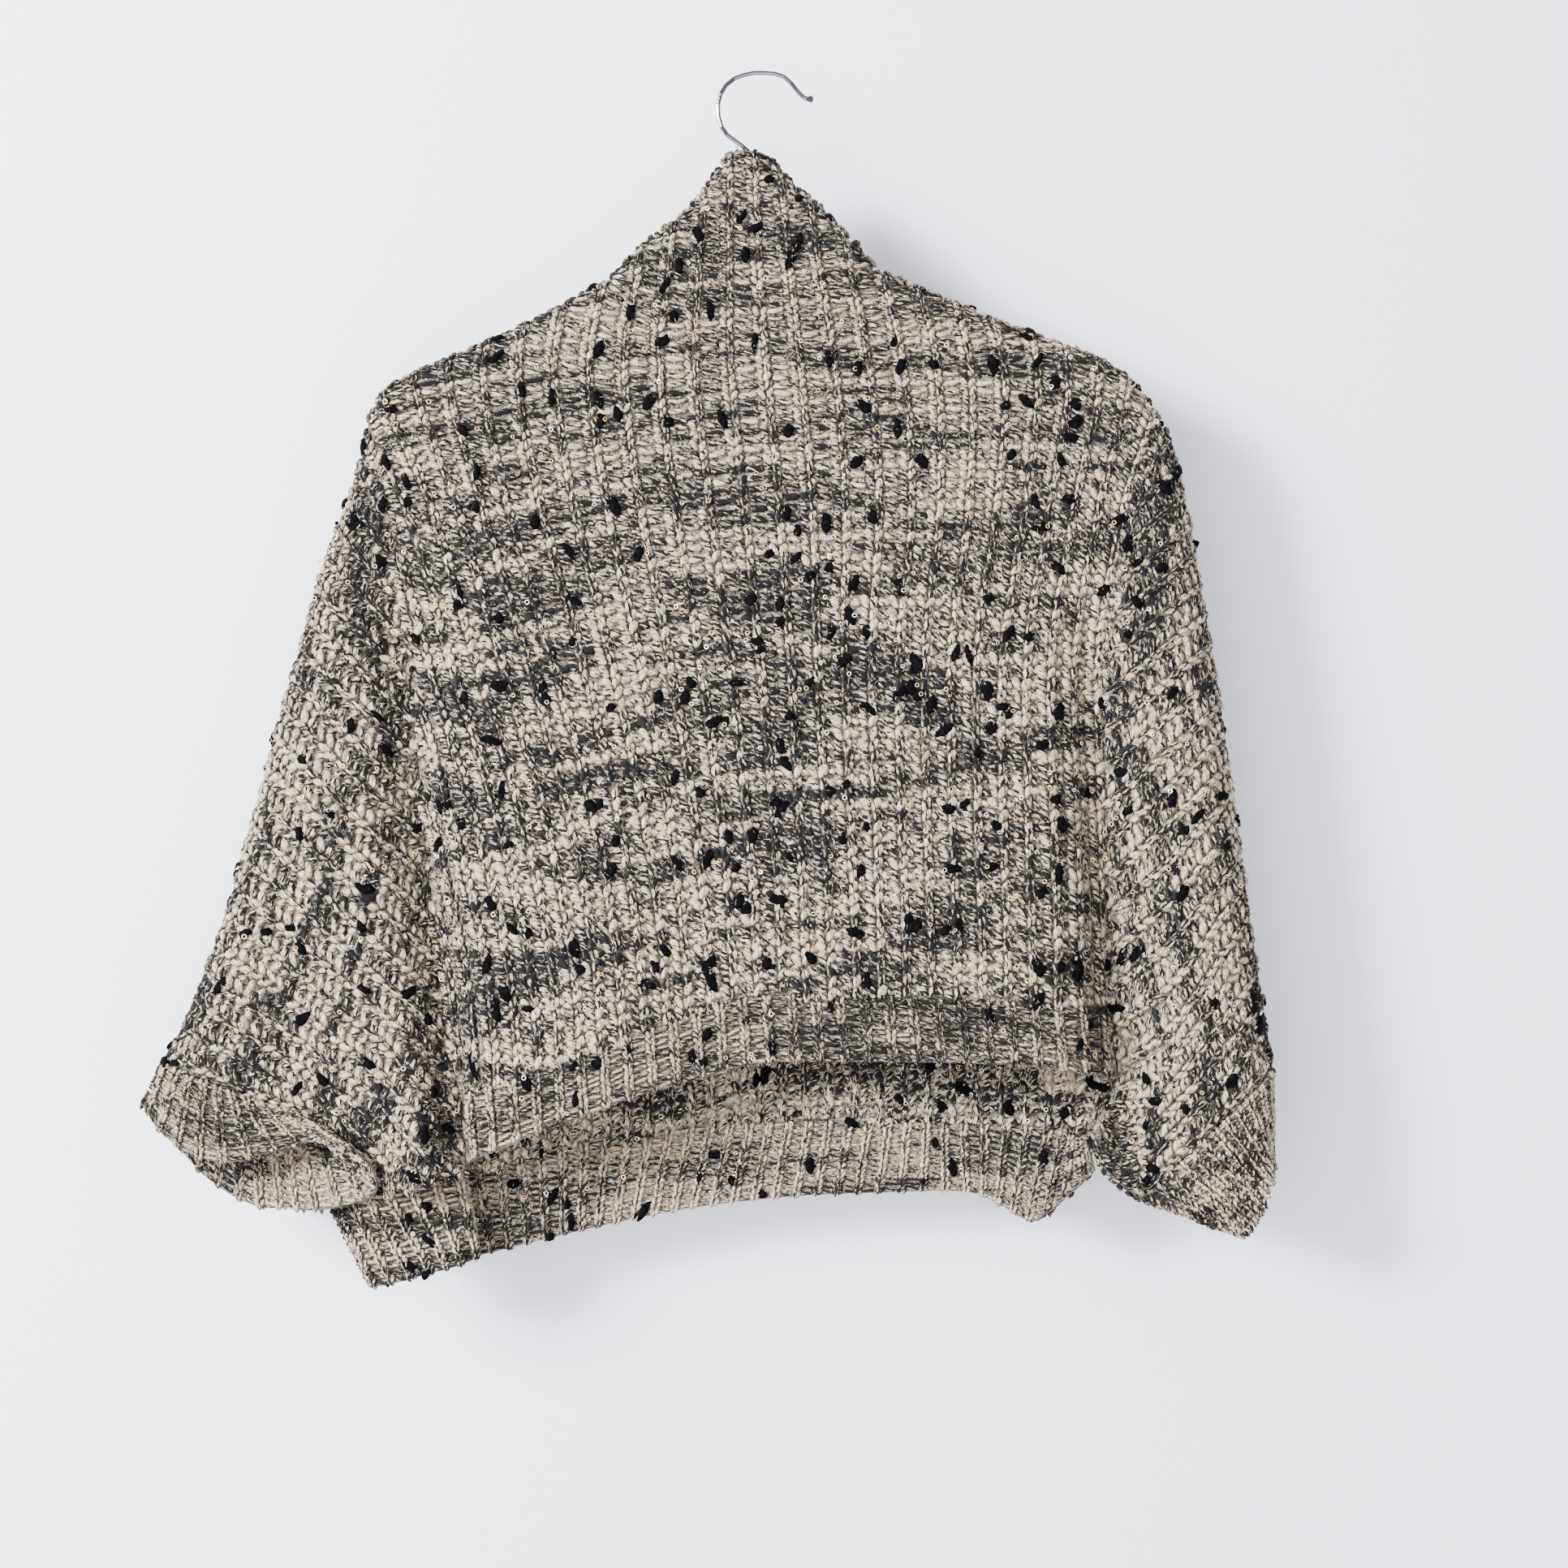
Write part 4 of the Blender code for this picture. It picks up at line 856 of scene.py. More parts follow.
# The creases go on below the front's hem, and the right one ends on a lobe of the sleeve: x, z
CREASE_LEFT_END = [(-166.6, -577.3), (-164.0, -600.0), (-161.1, -622.3)]
CREASE_RIGHT_END = [(203.7, -530.1), (205.3, -550.0), (206.1, -569.5)]
LOBE_SEAM_RIGHT = [(206.1, -569.5), (199.5, -586.0), (190.4, -603.9)]
RIB_SEAM_BACK = [
    (-161.1, -622.3), (-120.0, -613.0), (-68.2, -602.3), (10.0, -595.7), (79.8, -595.1),
    (149.0, -597.8), (190.4, -603.9),
]
back_lines = panel_lines(RIB_SEAM_BACK, [CREASE_LEFT_END], [CREASE_RIGHT_END, LOBE_SEAM_RIGHT])
back_cloth = cloth_wall(
    "back_cloth", body_panel(1, back_lines), PANEL_COLUMNS, panel_rows(470.0), knit_ground
)
back_cells, back_gutters = body_cells(1, BACK_SHIFT, body_outline(back_lines))
PLAIN_LEG = grain(sides=5, rings=4, taper=-0.45)
back_stitches = stitch_piece(
    "back_stitches", back_cells, back_gutters, knit_yarn, PLAIN_LEG
)


def turned_inside(cells, depth, keep):
    """The stitches of a face laid again on the inside of its wall, where that shows."""
    place, over, out, down, pitch, height, names = (part[keep] for part in cells)
    return place - out * depth, -over, -out, down, pitch, height, names


inner_cells, inner_gutters = (
    turned_inside(cells, WALL, cells[0][:, 2] < INSIDE_TOP) for cells in (back_cells, back_gutters)
)
back_inside = stitch_piece(
    "back_inside_stitches", inner_cells, inner_gutters, knit_yarn, PLAIN_LEG
)
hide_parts("back")

# Sleeves
# Batwing sleeves in the same knit, each once round the arm and joined to the body at its crease.
# Their wales start on the fold over the arm and fan down to the crease and the cuff.
LOBE_SEAM_LEFT = [(-161.1, -622.3), (-178.1, -626.0), (-208.6, -632.6)]
LEFT_FAN = (18, 4)  # wales that end on the crease, then on the lobe's seam below it
RIGHT_FAN = (17, 5)
FIRST_WALE_DROP = 0.05  # share of the crease that the shoulder's own wale runs down
BEND_START = 0.55  # share of the wales after which they bend towards the cuff seam
BEND_POWER = 1.5
CUFF_CORNER = 0.65  # share of the last wale that is on the cuff seam, the rest is underarm fold
SLEEVE_WALES = 22
SLEEVE_COLUMNS = 66
COURSE_SHIFT = 0.37  # share of a row by which the courses shift from wale to wale
SLEEVE_DOWN = [
    0.0, 0.012, 0.03, 0.055, 0.09, 0.13, 0.18, 0.23, 0.28, 0.34, 0.4, 0.46, 0.52, 0.58, 0.65, 0.7,
    0.76, 0.82, 0.88, 0.94, 1.0,
]


def sleeve_flat(overarm, end_lines, underarm, fan):
    """Where a sleeve's wales run, each from the overarm to the crease, as (x, z)."""
    overarm = smooth_line(overarm)
    marks = np.cumsum((0,) + fan) / sum(fan)

    def flat_at(u, down):
        ends = np.empty((len(u), 2))
        for line, low, high, first in zip(end_lines, marks, marks[1:], (FIRST_WALE_DROP, 0.0)):
            here = (u >= low - 1e-9) & (u <= high + 1e-9)
            ends[here] = at_shares(line, first + (1 - first) * (u[here] - low) / (high - low))
        tops = at_shares(overarm, u)
        where = tops[:, None] * (1 - down[:, None]) + ends[:, None] * down[:, None]
        along_cuff = np.minimum(down / CUFF_CORNER, 1)[:, None]
        cuff_seam = overarm[-1] + (underarm[0] - overarm[-1]) * along_cuff
        fold = at_shares(underarm, np.maximum(down - CUFF_CORNER, 0) / (1 - CUFF_CORNER))
        last = np.where((down <= CUFF_CORNER)[:, None], cuff_seam, fold)
        bend = np.clip((u - BEND_START) / (1 - BEND_START), 0, 1) ** BEND_POWER
        straight = overarm[-1] * (1 - down[:, None]) + end_lines[1][-1] * down[:, None]
        return where + bend[:, None, None] * (last - straight)[None]

    return flat_at


def sleeve(flat_at, away):
    """A batwing sleeve: every wale runs from the front seam over the arm to the back seam."""

    def shape_at(u, rows):
        down = np.array(rows)
        where = flat_at(u, down)
        at_cuff = (down > CUFF_CORNER - 1e-9) & (down < 1)
        where[:, -1, 0] += away * SEAM_GAP
        where[:, -1, 1] += SEAM_GAP
        where[0, :, 0] += away * SEAM_GAP / 2
        where[-1] += unit(where[-2] - where[-1]) * SEAM_GAP / 2
        halves = []
        for side in (-1, 1):
            places, normals = surface(where, side)
            normals[0] = along_seam(where[0], normals[0])
            normals[-1] = along_seam(where[-1], normals[-1])
            normals[:, -1] = along_seam(where[:, -1], normals[:, -1])
            places[:, 0, 1] = 0.0
            normals[:, 0] = in_plane(normals[:, 0], 1)
            places[-1, at_cuff, 1] = side * SEAM_GAP / 2
            normals[-1, at_cuff] = in_plane(surface(where[-1, at_cuff], side)[1], 1)
            halves.append((places, normals))
        (front, front_n), (back, back_n) = halves
        places = np.concatenate([front[:, ::-1], back[:, 1:]], axis=1)
        normals = np.concatenate([front_n[:, ::-1], back_n[:, 1:]], axis=1)
        return places, normals

    return shape_at


left_lines = (joined(CREASE_LEFT, CREASE_LEFT_END), smooth_line(LOBE_SEAM_LEFT))
right_lines = (joined(CREASE_RIGHT, CREASE_RIGHT_END), smooth_line(LOBE_SEAM_RIGHT))
sleeve_cells = {}
for hand, away, overarm, lines, underarm, fan, cut_area in (
    ("left", -1.0, OVERARM_LEFT, left_lines, UNDERARM_LEFT, LEFT_FAN, 0.081),
    ("right", 1.0, OVERARM_RIGHT, right_lines, UNDERARM_RIGHT, RIGHT_FAN, 0.063),
):
    fold = smooth_line(underarm)[::-1]
    flat_at = sleeve_flat(overarm, lines, fold, fan)
    cloth = cloth_wall(
        f"sleeve_{hand}_cloth", sleeve(flat_at, away), SLEEVE_COLUMNS, SLEEVE_DOWN, knit_ground,
    )
    cuff_seam = np.array([overarm[-1], fold[0]])
    outline = np.vstack([smooth_line(overarm), cuff_seam, fold, lines[1][::-1], lines[0][::-1]])

    def sleeve_wale(number):
        share = np.array([np.clip(number / SLEEVE_WALES, 0.0, 1.0)])
        return flat_at(share, np.linspace(0.0, 1.0, 150))[0]

    def from_overarm(number, line, rows):
        shift = (COURSE_SHIFT * number + 0.11) % 1
        return shift if side < 0 else 1 - shift

    halves = []
    for side in (-1, 1):
        numbers = np.arange(SLEEVE_WALES) + 0.5
        for shift in (0.0, 0.5):
            halves.append(stitch_cells(sleeve_wale, numbers + shift, side, outline, from_overarm))
    stitches = stitch_piece(
        f"sleeve_{hand}_stitches", both(halves[0], halves[2]), both(halves[1], halves[3]), knit_yarn,
        PLAIN_LEG,
    )
    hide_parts(f"sleeve_{hand}")
    sleeve_cells[hand] = both(halves[0], halves[2])

# Collar
# The funnel of the turtleneck, knitted in the round in the body's yarn, hangs as a peak over the
# hook. It is joined to the panels at the base of the neck, and its wales go on from theirs.
COLLAR_COLUMNS = 72


def to_and_fro(u):
    """Shares across the garment of points once round it: over along the front, back behind."""
    return np.minimum(u * 2, 2 - u * 2)


def on_both_faces(where, u):
    """Places and normals of points once round the garment, whose folded edges stay sharp."""
    places, normals = np.empty(where.shape[:-1] + (3,)), np.empty(where.shape[:-1] + (3,))
    for side, mine in ((-1, u <= 0.5), (1, u > 0.5)):
        places[mine], normals[mine] = surface(where[mine], side)
    share = to_and_fro(u)
    on_edge = (share < 1e-6) | (share > 1 - 1e-6)
    places[on_edge, ..., 1] = 0.0
    normals[on_edge] = in_plane(normals[on_edge], 1)
    return places, normals


def along_ring(where, normals):
    """The normals of a rim that is once round, each half of it turned along the seam."""
    half = len(where) // 2 + 1
    normals[:half] = along_seam(where[:half], normals[:half])
    normals[half - 1:] = along_seam(where[half - 1:], normals[half - 1:])
    return normals


def collar(u, rows):
    """The neck: rings between the two slopes, from the base up to the hook's opening."""
    left, right = smooth_line(NECK_SLOPE_LEFT), smooth_line(NECK_SLOPE_RIGHT)[::-1]
    base = smooth_line(NECK_BASE)
    rows = np.array(rows)
    left_end, right_end = at_shares(left, rows), at_shares(right, rows)
    share = to_and_fro(u)
    sag = at_shares(base, share) - (base[0] * (1 - share[:, None]) + base[-1] * share[:, None])
    where = left_end[None] * (1 - share[:, None, None]) + right_end[None] * share[:, None, None]
    where = where + sag[:, None] * ((1 - rows) ** 2)[None, :, None]
    where[:, 0, 1] += 2 * SEAM_GAP
    places, normals = on_both_faces(where, u)
    normals[:, 0] = along_ring(where[:, 0], normals[:, 0])
    return places, normals


collar_cloth = cloth_wall(
    "collar_cloth", collar, COLLAR_COLUMNS, even(0.0, 1.0, 100.0), knit_ground, closed=True
)
collar_outline = np.vstack(
    [smooth_line(NECK_SLOPE_LEFT), smooth_line(NECK_SLOPE_RIGHT), smooth_line(NECK_BASE)[::-1]]
)
collar_front = body_cells(-1, 0.0, collar_outline)
collar_back = body_cells(1, BACK_SHIFT, collar_outline)
slope_cells = both(
    edge_cells(smooth_line(NECK_SLOPE_LEFT), EDGE_STITCH, height=5.0),
    edge_cells(smooth_line(NECK_SLOPE_RIGHT), EDGE_STITCH, height=5.0),
)
collar_stitches = stitch_piece(
    "collar_stitches", both(collar_front[0], collar_back[0], slope_cells),
    both(collar_front[1], collar_back[1]), knit_yarn,
)
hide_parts("collar")

# Front hem band
# The hem is a narrower 1 x 1 rib in the same yarn, knitted on below the panel.
# Its wales stand up as thin cords of small stitches with deep gutters between them.
FRONT_HEM = [
    (-161.6, -616.4), (-153.4, -610.7), (-115.5, -594.5), (-65.5, -576.4), (-20.0, -563.8),
    (11.1, -557.7), (77.9, -556.9), (150.0, -559.0), (190.4, -565.0), (205.0, -569.3),
]
FRONT_HEM_RIBS = 28
FRONT_HEM_COLUMNS = 84
FRONT_HEM_START = 30  # where in the yarn's tones the band starts
RIB_ROW = 3.35  # height of a row of rib stitches
RIB_LEG = 1.35  # half width of a leg of the rib
RIB_LEG_LENGTH = 0.92
RIB_SLANT = 0.30
RIB_PROBE = 0.3  # share of a rib to each side of a stitch over which its pitch is measured
ROW_PROBE = 0.04  # share of a band up and down from a stitch that gives its direction
RIB_TONES = (0.8, 0.6)  # wales and rows of the body that a rib and a row count as in the yarn's tones
rib_yarn = yarn_material("heather_rib_yarn", 2)
# The rib's ground is its yarn darkened as painted shade for the deep gutters between the ribs.
rib_ground = ground_material("heather_rib_ground", (0.26, 0.225, 0.185, 1.0))


def front_rib(u, rows):
    """The front hem band hangs on from the front panel."""
    top = at_shares(smooth_line(RIB_SEAM_FRONT), u)[:, None]
    bottom = at_shares(smooth_line(FRONT_HEM), u)[:, None]
    down = np.array(rows)[None, :, None]
    where = top * (1 - down) + bottom * down
    where = inset(where, SEAM_GAP / 2)
    where[:, 0, 1] -= SEAM_GAP
    places, normals = surface(where, -1)
    normals[0] = along_seam(where[0], normals[0])
    normals[-1] = along_seam(where[-1], normals[-1])
    normals[:, 0] = along_seam(where[:, 0], normals[:, 0])
    return places, normals


def read_grid(grid, u, v, closed):
    """A grid of places or normals read between its points, at shares u and v."""
    n_v = grid.shape[1]
    if closed:
        grid = np.concatenate([grid, grid[:1]], axis=0)
    a, b = u * (len(grid) - 1), v * (n_v - 1)
    i = np.clip(np.floor(a).astype(int), 0, len(grid) - 2)
    j = np.clip(np.floor(b).astype(int), 0, n_v - 2)
    s, t = (a - i)[:, None], (b - j)[:, None]
    low = grid[i, j] * (1 - s) + grid[i + 1, j] * s
    return low * (1 - t) + (grid[i, j + 1] * (1 - s) + grid[i + 1, j + 1] * s) * t


def rib_cells(shape_at, ribs, shift, closed, first):
    """The cells of a rib's stitches on a band, or of its gutters where the shift is a half."""
    fine = np.linspace(0.0, 1.0, 4 * ribs + 1)
    places, normals = shape_at(fine[:-1] if closed else fine, np.linspace(0.0, 1.0, 13))
    number = np.arange(ribs if closed else ribs - int(2 * shift)) + 0.5 + shift
    u = number / ribs % 1.0001
    top, bottom = (read_grid(places, u, np.full(len(u), end), closed) for end in (0.0, 1.0))
    count = np.round(np.linalg.norm(bottom - top, axis=1).mean() / RIB_ROW).astype(int)
    v = np.tile((np.arange(count) + 0.5) / count, len(number))
    u, wale = np.repeat(u, count), np.repeat(number, count)
    place = read_grid(places, u, v, closed)
    out = unit(read_grid(normals, u, v, closed))
    side, below = RIB_PROBE / ribs, np.minimum(v + ROW_PROBE, 1)
    over = read_grid(places, u + side, v, closed) - read_grid(places, u - side, v, closed)
    down = read_grid(places, u, below, closed) - read_grid(places, u, v - ROW_PROBE, closed)
    pitch = np.linalg.norm(over, axis=1) / (2 * RIB_PROBE)
    height = np.repeat(np.linalg.norm(bottom - top, axis=1) / count, count)
    down = unit(down - (down * out).sum(1)[:, None] * out)
    over = unit(over - (over * out).sum(1)[:, None] * out)
    names = np.stack([wale, v * count], axis=-1) * RIB_TONES + first
    return place, over, out, down, pitch, height, names


def ribs_and_gutters(shape_at, ribs, first, closed=False):
    """The cells of a band's stitches, and those of the gutters between them."""
    return [rib_cells(shape_at, ribs, shift, closed, first) for shift in (0.0, 0.5)]


THIN_LEG = grain(sides=5, rings=3, taper=-0.3)
THIN_BAR = grain(sides=4, rings=3, taper=0.0)


def rib_stitches(name, cells, gutters):
    return stitch_piece(
        name, cells, gutters, rib_yarn, THIN_LEG, THIN_BAR, RIB_LEG, RIB_LEG_LENGTH,
        RIB_SLANT, lift=1.0, sink=0.2,
    )


RIB_DOWN = [0.0, 0.17, 0.34, 0.5, 0.67, 0.84, 1.0]
hem_front_cloth = cloth_wall(
    "hem_front_cloth", front_rib, FRONT_HEM_COLUMNS, RIB_DOWN, rib_ground
)
hem_front_cells = ribs_and_gutters(front_rib, FRONT_HEM_RIBS, FRONT_HEM_START)
hem_front = rib_stitches("hem_front_stitches", *hem_front_cells)
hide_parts("hem_rib_front")

# Back hem band
# The same rib as in front, knitted on below the back panel. Its left end folds round the side of
# the sweater, and its inside shows below the front.
BACK_HEM_RIBS = 46
BACK_HEM_START = 50
BACK_HEM_COLUMNS = 138
# Round the left side, then across the back: seam x, seam y, seam z, hem x, hem y, hem z
BACK_HEM_BAND = [
    (-161.1, -5.0, -622.3, -153.5, -3.0, -669.0),
    (-178.1, -11.0, -626.0, -164.0, -10.0, -673.0),
    (-208.6, -12.0, -632.6, -183.0, -14.0, -678.0),
    (-232.0, -8.0, -633.0, -205.0, -11.0, -684.0),
    (-244.3, 0.0, -635.0, -218.1, 0.0, -687.7),
    (-232.0, 9.0, -628.0, -205.0, 11.0, -684.0),
    (-208.6, 13.0, -632.6, -182.0, 16.0, -676.5),
    (-161.1, 17.0, -622.3, -152.7, 20.0, -670.3),
    (-120.0, 22.5, -613.0, -117.0, 23.0, -662.0),
    (-68.2, 23.0, -602.3, -76.0, 24.0, -652.5),
    (-20.0, 23.0, -597.5, -30.0, 24.0, -644.0),
    (30.0, 20.5, -595.2, 22.0, 22.5, -638.0),
    (79.8, 19.5, -595.1, 75.0, 21.5, -635.6),
    (120.0, 22.0, -596.5, 122.0, 22.0, -635.4),
    (149.0, 22.5, -597.8, 143.0, 19.0, -644.0),
    (172.0, 18.0, -600.8, 160.5, 12.0, -651.3),
    (184.0, 11.0, -602.9, 179.1, 5.0, -636.5),
    (190.4, 1.5, -603.9, 194.0, 0.0, -621.2),
]


def grid_normals(places, round_u):
    """Normals of a grid of points, turned so that those in its middle point to the back."""
    if round_u:
        du = np.roll(places, -1, axis=0) - np.roll(places, 1, axis=0)
    else:
        du = np.gradient(places, axis=0)
    dv = np.gradient(places, axis=1)
    normal = unit(np.cross(du, dv))
    middle = places.shape[0] // 2, places.shape[1] // 2
    return -normal if normal[middle][1] < 0 else normal


def back_rib(u, rows):
    """The back hem band with the part of it that folds round the left side."""
    drawn = at_shares(smooth_line(BACK_HEM_BAND), u)
    down = np.array(rows)[None, :, None]
    places = drawn[:, None, :3] * (1 - down) + drawn[:, None, 3:] * down
    places[:, 0, 2] -= SEAM_GAP
    normals = grid_normals(places, False)
    normals[:, 0] = along_seam(places[:, 0][:, [0, 2]], normals[:, 0])
    return places, normals


hem_back_cloth = cloth_wall(
    "hem_back_cloth", back_rib, BACK_HEM_COLUMNS, RIB_DOWN, rib_ground
)
hem_back_cells = ribs_and_gutters(back_rib, BACK_HEM_RIBS, BACK_HEM_START)
hem_back = rib_stitches("hem_back_stitches", *hem_back_cells)
hem_inside_cells = [turned_inside(cells, WALL, slice(None)) for cells in hem_back_cells]
hem_back_inside = rib_stitches("hem_back_inside_stitches", *hem_inside_cells)
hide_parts("hem_rib_back")

# Cuffs
# Ribbed bands knitted on at the ends of the sleeves in the same rib yarn. The left one is folded
# over, so its inside shows too.
CUFF_RIBS = 24
CUFF_START = 80
CUFF_COLUMNS = 96
CUFF_WALL = 2.6  # the cuffs are knitted thinner, and the left one folds tightly
CUFF_GROUND = 0.6
# Open edges of the cuffs, once round from the overarm along the front: x, y, z
CUFF_EDGE_LEFT = [
    (-347.5, 0.0, -584.0), (-331.5, -13.0, -601.0), (-313.5, -19.0, -611.0),
    (-294.0, -21.0, -614.5), (-276.0, -20.0, -610.0), (-262.0, -19.5, -606.5),
    (-246.0, -22.0, -603.0), (-226.0, -24.5, -605.0), (-212.0, -25.0, -617.5),
    (-213.0, -22.0, -633.0), (-233.5, -17.0, -640.0), (-250.0, -8.0, -643.0),
    (-264.0, 4.0, -643.0),
    (-280.5, 12.0, -643.5), (-298.5, 15.0, -637.0), (-317.0, 13.0, -623.0),
    (-335.0, 8.0, -600.0),
]
CUFF_EDGE_RIGHT = [
    (293.0, 0.0, -608.5), (292.0, -14.0, -620.0), (289.0, -22.0, -632.0),
    (284.0, -20.0, -646.0), (277.0, 0.0, -658.0), (282.0, 20.0, -647.0),
    (287.5, 22.0, -633.0), (291.5, 14.0, -620.5),
]


def cuff(seam_end, edge_table):
    """A ribbed cuff from the last wale of its sleeve to its open edge."""
    edge = smooth_line(edge_table + edge_table[:1])
    outer, inner = np.array(seam_end[0]), np.array(seam_end[1])

    def shape_at(u, rows):
        share = to_and_fro(u)[:, None]
        where = outer * (1 - share) + inner * share
        seam, seam_normal = on_both_faces(where, u)
        rim = at_shares(edge, u)
        down = np.array(rows)[None, :, None]
        places = seam[:, None] * (1 - down) + rim[:, None] * down
        places = places + unit(rim - seam)[:, None] * 2 * SEAM_GAP * (1 - down)
        normals = grid_normals(places, True)
        quarter = len(u) // 4
        if normals[quarter, 1, 1] > 0:
            normals = -normals
        normals[:, 0] = along_ring(where, seam_normal)
        return places, normals

    return shape_at


for hand, seam_end, edge, cut in (
    ("left", (OVERARM_LEFT[-1], UNDERARM_LEFT[-1]), CUFF_EDGE_LEFT, (0.30, 0.041)),
    ("right", (OVERARM_RIGHT[-1], UNDERARM_RIGHT[-1]), CUFF_EDGE_RIGHT, (0.25, 0.038)),
):
    shape_at = cuff(seam_end, edge)
    cloth = cloth_wall(
        f"cuff_{hand}_cloth", shape_at, CUFF_COLUMNS, RIB_DOWN, rib_ground,
        closed=True, ground=CUFF_GROUND, wall=CUFF_WALL,
    )
    cells = ribs_and_gutters(shape_at, CUFF_RIBS, CUFF_START, closed=True)
    stitches = rib_stitches(f"cuff_{hand}_stitches", *cells)
    inside_stitches = rib_stitches(
        f"cuff_{hand}_inside_stitches", *[turned_inside(part, CUFF_WALL, slice(None)) for part in cells]
    )
    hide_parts(f"cuff_{hand}")

# Slubs
# Short black lumps of unspun fibre are twisted into the yarn and sit proud of the stitches.
# Each is a lumpy grain with a smaller one beside it and a few loose ends round it.
SLUB_DENSITY = 1.1  # for each 1000 mm2 of cloth
SLUB_DARKER = 0.4  # how much more of them lie where the yarn is dark
SLUB_LIFT = 1.2  # height above the middle of the stitches
FIBRE_BLACK = (0.0003, 0.0003, 0.0005, 1.0)
FIBRE_SOOT = (0.004, 0.0038, 0.005, 1.0)
bpy.ops.mesh.primitive_ico_sphere_add(subdivisions=2, radius=1.0)
lump = bpy.context.object
swelling = bpy.data.textures.new("swelling", "CLOUDS")
swelling.noise_scale = 0.7
uneven = lump.modifiers.new("uneven", "DISPLACE")
uneven.texture = swelling
uneven.strength = 1.3
bpy.ops.object.modifier_apply(modifier="uneven")
SLUB = taken(lump)
bpy.ops.mesh.primitive_ico_sphere_add(subdivisions=1, radius=1.0)
TUFT = taken(bpy.context.object)
bpy.ops.mesh.primitive_cone_add(vertices=3, radius1=1.0, depth=2.0)
HAIR = taken(bpy.context.object)


def scattered(cells, density, darker=0.0):
    """So many of the cells for each 1000 mm2, more where the yarn is dark, shifted in the cell."""
    place, over, out, down, pitch, height, names = cells
    share = density * pitch * height / 1000 * (1 + darker * (2 * patches(names) - 1))
    chosen = np.flatnonzero(rng.random(len(place)) < share)
    shift = rng.uniform(-0.5, 0.5, (2, len(chosen), 1))
    at = place[chosen] + over[chosen] * shift[0] * pitch[chosen, None]
    at = at + down[chosen] * shift[1] * height[chosen, None]
    return at, over[chosen], out[chosen], down[chosen]


def turned(over, down, angle):
    """Arms turned in the cloth's own plane."""
    c, s = np.cos(angle)[:, None], np.sin(angle)[:, None]
    return over * c + down * s, down * c - over * s


def hairs_round(place, over, out, down, number, length, spread, rise):
    """Loose fibres that start near each place and lean every way over the cloth."""
    at, over, out, down = (np.repeat(part, number, axis=0) for part in (place, over, out, down))
    count = len(at)
    lying = turned(over, down, rng.uniform(0, 2 * np.pi, count))[1]
    axis = unit(lying + out * (rise * rng.uniform(0.1, 1.0, count))[:, None])
    reach = length * rng.uniform(0.5, 1.3, count)[:, None]
    shift = rng.normal(0, spread, (2, count, 1))
    foot = at + (over * shift[0] + down * shift[1])
    thin = rng.uniform(0.10, 0.17, count)[:, None]
    side = unit(np.cross(axis, out))
    return repeated(HAIR, foot + axis * reach, side * thin, np.cross(side, axis) * thin, axis * reach)


slub_fibre, paint, place, inputs = new_material("slub_fibre", roughness=0.95)
inputs["Specular IOR Level"].default_value = 0.05
soot = paint.noise(place, size=0.002, detail=3.0, roughness=0.6)
feed(paint.mixed(soot.rise(0.4, 0.75), FIBRE_BLACK, FIBRE_SOOT), inputs["Base Color"])
feed(paint.bump(soot, depth=0.001), inputs["Normal"])
all_faces = {
    "front": both(front_cells, collar_front[0], hem_front_cells[0]),
    "back": both(back_cells, collar_back[0], hem_back_cells[0]),
    "sleeve_left": sleeve_cells["left"],
    "sleeve_right": sleeve_cells["right"],
    "inside": both(inner_cells, hem_inside_cells[0]),
}
for face, cells in all_faces.items():
    at, over, out, down = scattered(cells, SLUB_DENSITY, SLUB_DARKER)
    over, down = turned(over, down, rng.normal(0, 0.7, len(at)))
    wide = over * rng.uniform(1.9, 3.2, len(at))[:, None]
    tall = down * rng.uniform(2.6, 5.8, len(at))[:, None]
    at = at + out * SLUB_LIFT
    lumps = repeated(SLUB, at, wide, out * 1.5, tall)
    aside = at + wide * rng.uniform(-1, 1, (len(at), 1))
    aside = aside + tall * rng.uniform(-0.9, 0.9, (len(at), 1))
    tufts = repeated(TUFT, aside, wide * 0.6, out * 1.4, tall * 0.45)
    ends = hairs_round(at, over, out, down, number=9, length=2.1, spread=1.9, rise=0.35)
    points, faces, uv = put_together([lumps, tufts, ends])
    add_piece(f"slubs_{face}", points, faces, slub_fibre, uv)

# Sequins
# Small ring sequins of clear and champagne coated film are threaded on a strand of the yarn, and
# lie over the stitches at all angles.
SEQUIN_DENSITY = 1.9  # for each 1000 mm2 of cloth
SEQUIN_LIFT = 2.9  # height above the middle of the stitches
CHAMPAGNE = (0.95, 0.62, 0.28, 1.0)
CLEAR_FILM = (0.97, 0.93, 0.95, 1.0)
bpy.ops.mesh.primitive_torus_add(major_segments=9, minor_segments=4, major_radius=1.0, minor_radius=0.34)
RING = taken(bpy.context.object)
sequin_film, paint, place, inputs = new_material("sequin_film", roughness=0.12, metallic=0.8)
glint = paint.noise(place, size=0.012, detail=1.0, roughness=0.5)
feed(paint.mixed(glint.rise(0.45, 0.6), CHAMPAGNE, CLEAR_FILM), inputs["Base Color"])
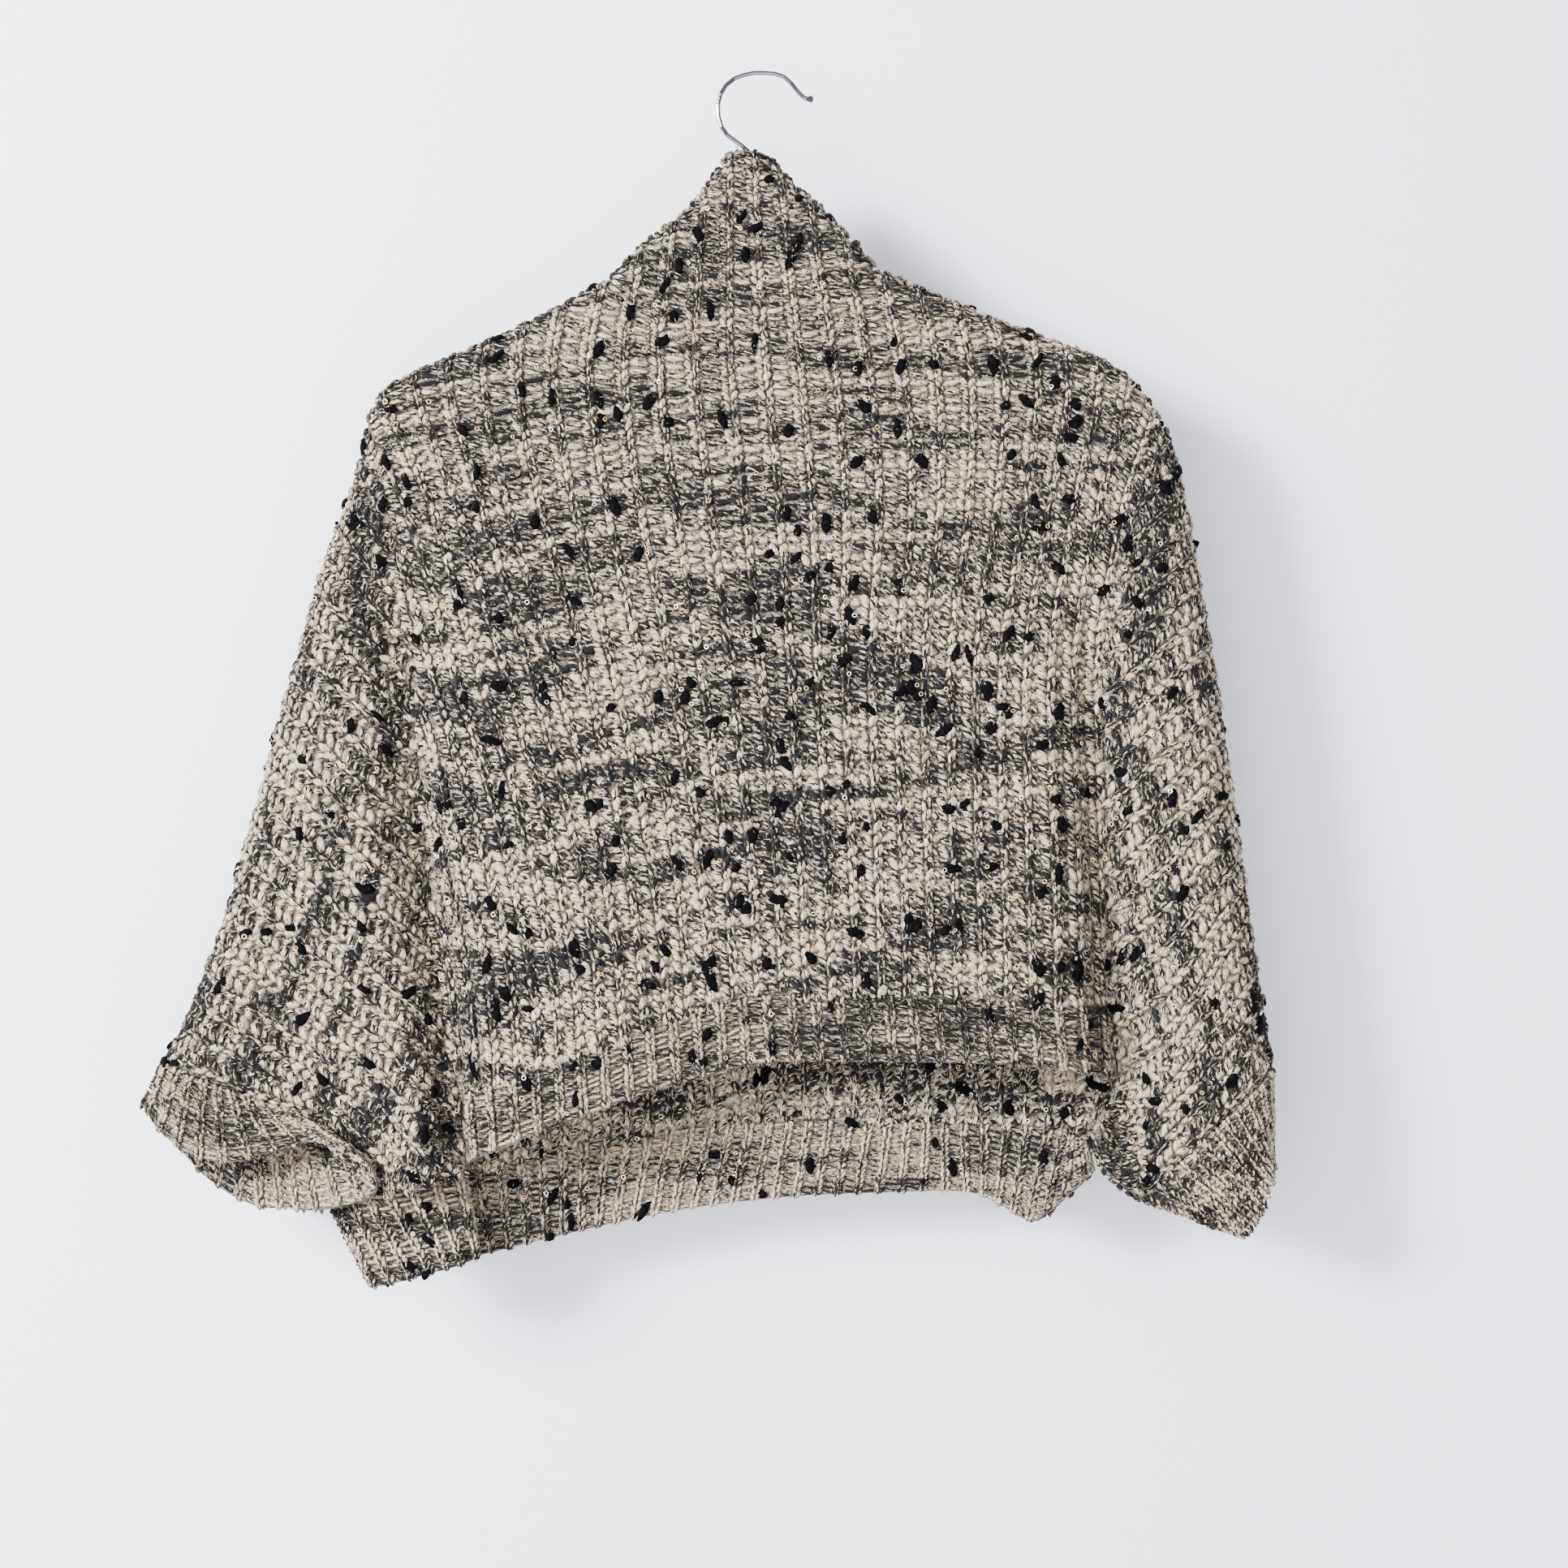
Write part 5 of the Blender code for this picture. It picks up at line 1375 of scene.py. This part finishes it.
for face, cells in all_faces.items():
    at, over, out, down = scattered(cells, SEQUIN_DENSITY)
    lean = rng.normal(0, 0.45, (2, len(at), 1))
    facing = unit(out + over * lean[0] + down * lean[1])
    side = unit(np.cross(down, facing))
    size = rng.uniform(0.95, 1.25, len(at))[:, None]
    arms = [side * size, np.cross(facing, side) * size, facing * 0.45]
    points, faces, uv = repeated(RING, at + out * SEQUIN_LIFT, *arms)
    add_piece(f"sequins_{face}", points, faces, sequin_film, uv)

# Fuzz
# Fine loose fibres of the yarn stand off it all over, worked out of it by wear, and make a faint
# halo at the edges. Each is one thin spike, and they come in pairs.
FUZZ_DENSITY = 9.5  # pairs for each 1000 mm2 of cloth
FUZZ_LIFT = 1.4  # height of their roots above the middle of the stitches
FIBRE_GREY = (0.48, 0.43, 0.36, 1.0)
FIBRE_PALE = (0.74, 0.70, 0.63, 1.0)
fuzz_fibre, paint, place, inputs = new_material("fuzz_fibre", roughness=0.8)
pale = paint.noise(place, size=0.01, detail=1.0, roughness=0.5)
feed(paint.mixed(pale.rise(0.4, 0.6), FIBRE_GREY, FIBRE_PALE), inputs["Base Color"])
for face, cells in all_faces.items():
    at, over, out, down = scattered(cells, FUZZ_DENSITY)
    at = at + out * FUZZ_LIFT
    points, faces, uv = hairs_round(at, over, out, down, number=2, length=1.9, spread=0.6, rise=1.1)
    add_piece(f"fuzz_{face}", points, faces, fuzz_fibre, uv)


# Hanger and hook
# The hanger is a moulded bar of satin black plastic, hidden in the shoulders but for the end of its
# neck. Its hook is chromed steel wire bent in a half circle. Both keep the shapes of the solids.
for node, roughness, metallic, low, high in (
    ("hanger", 0.42, 0.0, (0.018, 0.018, 0.019, 1.0), (0.032, 0.031, 0.033, 1.0)),
    ("hook", 0.13, 1.0, (0.07, 0.07, 0.075, 1.0), (0.15, 0.15, 0.155, 1.0)),
):
    coat, paint, place, inputs = new_material(f"{node}_finish", roughness, metallic)
    haze = paint.noise(place, size=0.006, detail=2.0, roughness=0.5)
    feed(paint.mixed(haze, low, high), inputs["Base Color"])
    feed(haze * 0.12 + (roughness - 0.06), inputs["Roughness"])
    grain_marks = paint.noise(place, size=0.0009, detail=2.0, roughness=0.5)
    feed(paint.bump(grain_marks, depth=0.00005, strength=0.4), inputs["Normal"])
    solid = bpy.data.objects[node]
    solid.data.materials.clear()
    solid.data.materials.append(coat)


# Stage
# A plain pale wall behind and soft light from the upper left, as in a small studio. The wall is clear
# from its back and casts no shadow, so the sweater shows from behind too, where a third lamp lights it.
WALL_DISTANCE = 0.075  # metres from the hook back to the wall
GARMENT_MIDDLE = -0.4  # level in metres that the lamps look at
upright = (np.pi / 2, 0.0, 0.0)
bpy.ops.mesh.primitive_plane_add(size=6.0, location=(0.0, WALL_DISTANCE, GARMENT_MIDDLE), rotation=upright)
backdrop = bpy.context.object
backdrop.name = "backdrop"
backdrop_paint, paint, place, inputs = new_material("backdrop_paint", roughness=0.9)
grey = paint.noise(place, size=0.6, detail=1.0, roughness=0.4)
feed(paint.mixed(grey, (0.76, 0.775, 0.875, 1.0), (0.78, 0.795, 0.895, 1.0)), inputs["Base Color"])
backside = paint.node("NewGeometry", {}, {}, "Backfacing")
feed(1.0 - backside, inputs["Alpha"])
backdrop.data.materials.append(backdrop_paint)
backdrop.visible_shadow = False
for name, place, size, power in (
    ("window", (-2.2, -2.1, 0.5), 1.1, 450.0),
    ("fill", (-0.3, -2.6, -1.1), 2.4, 105.0),
    ("rear", (1.3, 2.6, 0.6), 2.0, 150.0),
):
    bpy.ops.object.light_add(type="AREA", location=place)
    lamp = bpy.context.object
    lamp.name = name
    lamp.data.size = size
    lamp.data.energy = power
    towards = Vector((0.0, 0.0, GARMENT_MIDDLE)) - lamp.location
    lamp.rotation_euler = towards.to_track_quat("-Z", "Y").to_euler()
world = bpy.data.worlds.new("room")
bpy.context.scene.world = world
world.use_nodes = True
air = world.node_tree.nodes["Background"]
air.inputs["Color"].default_value = (0.93, 0.95, 1.0, 1.0)
air.inputs["Strength"].default_value = 1.35

bpy.ops.object.camera_add(location=(0.017, -1.87, -0.402), rotation=upright)
camera = bpy.context.object
camera.name = "camera"
camera.data.sensor_width = 36.0
camera.data.lens = 75.7
camera.data.clip_end = 20.0
bpy.context.scene.camera = camera
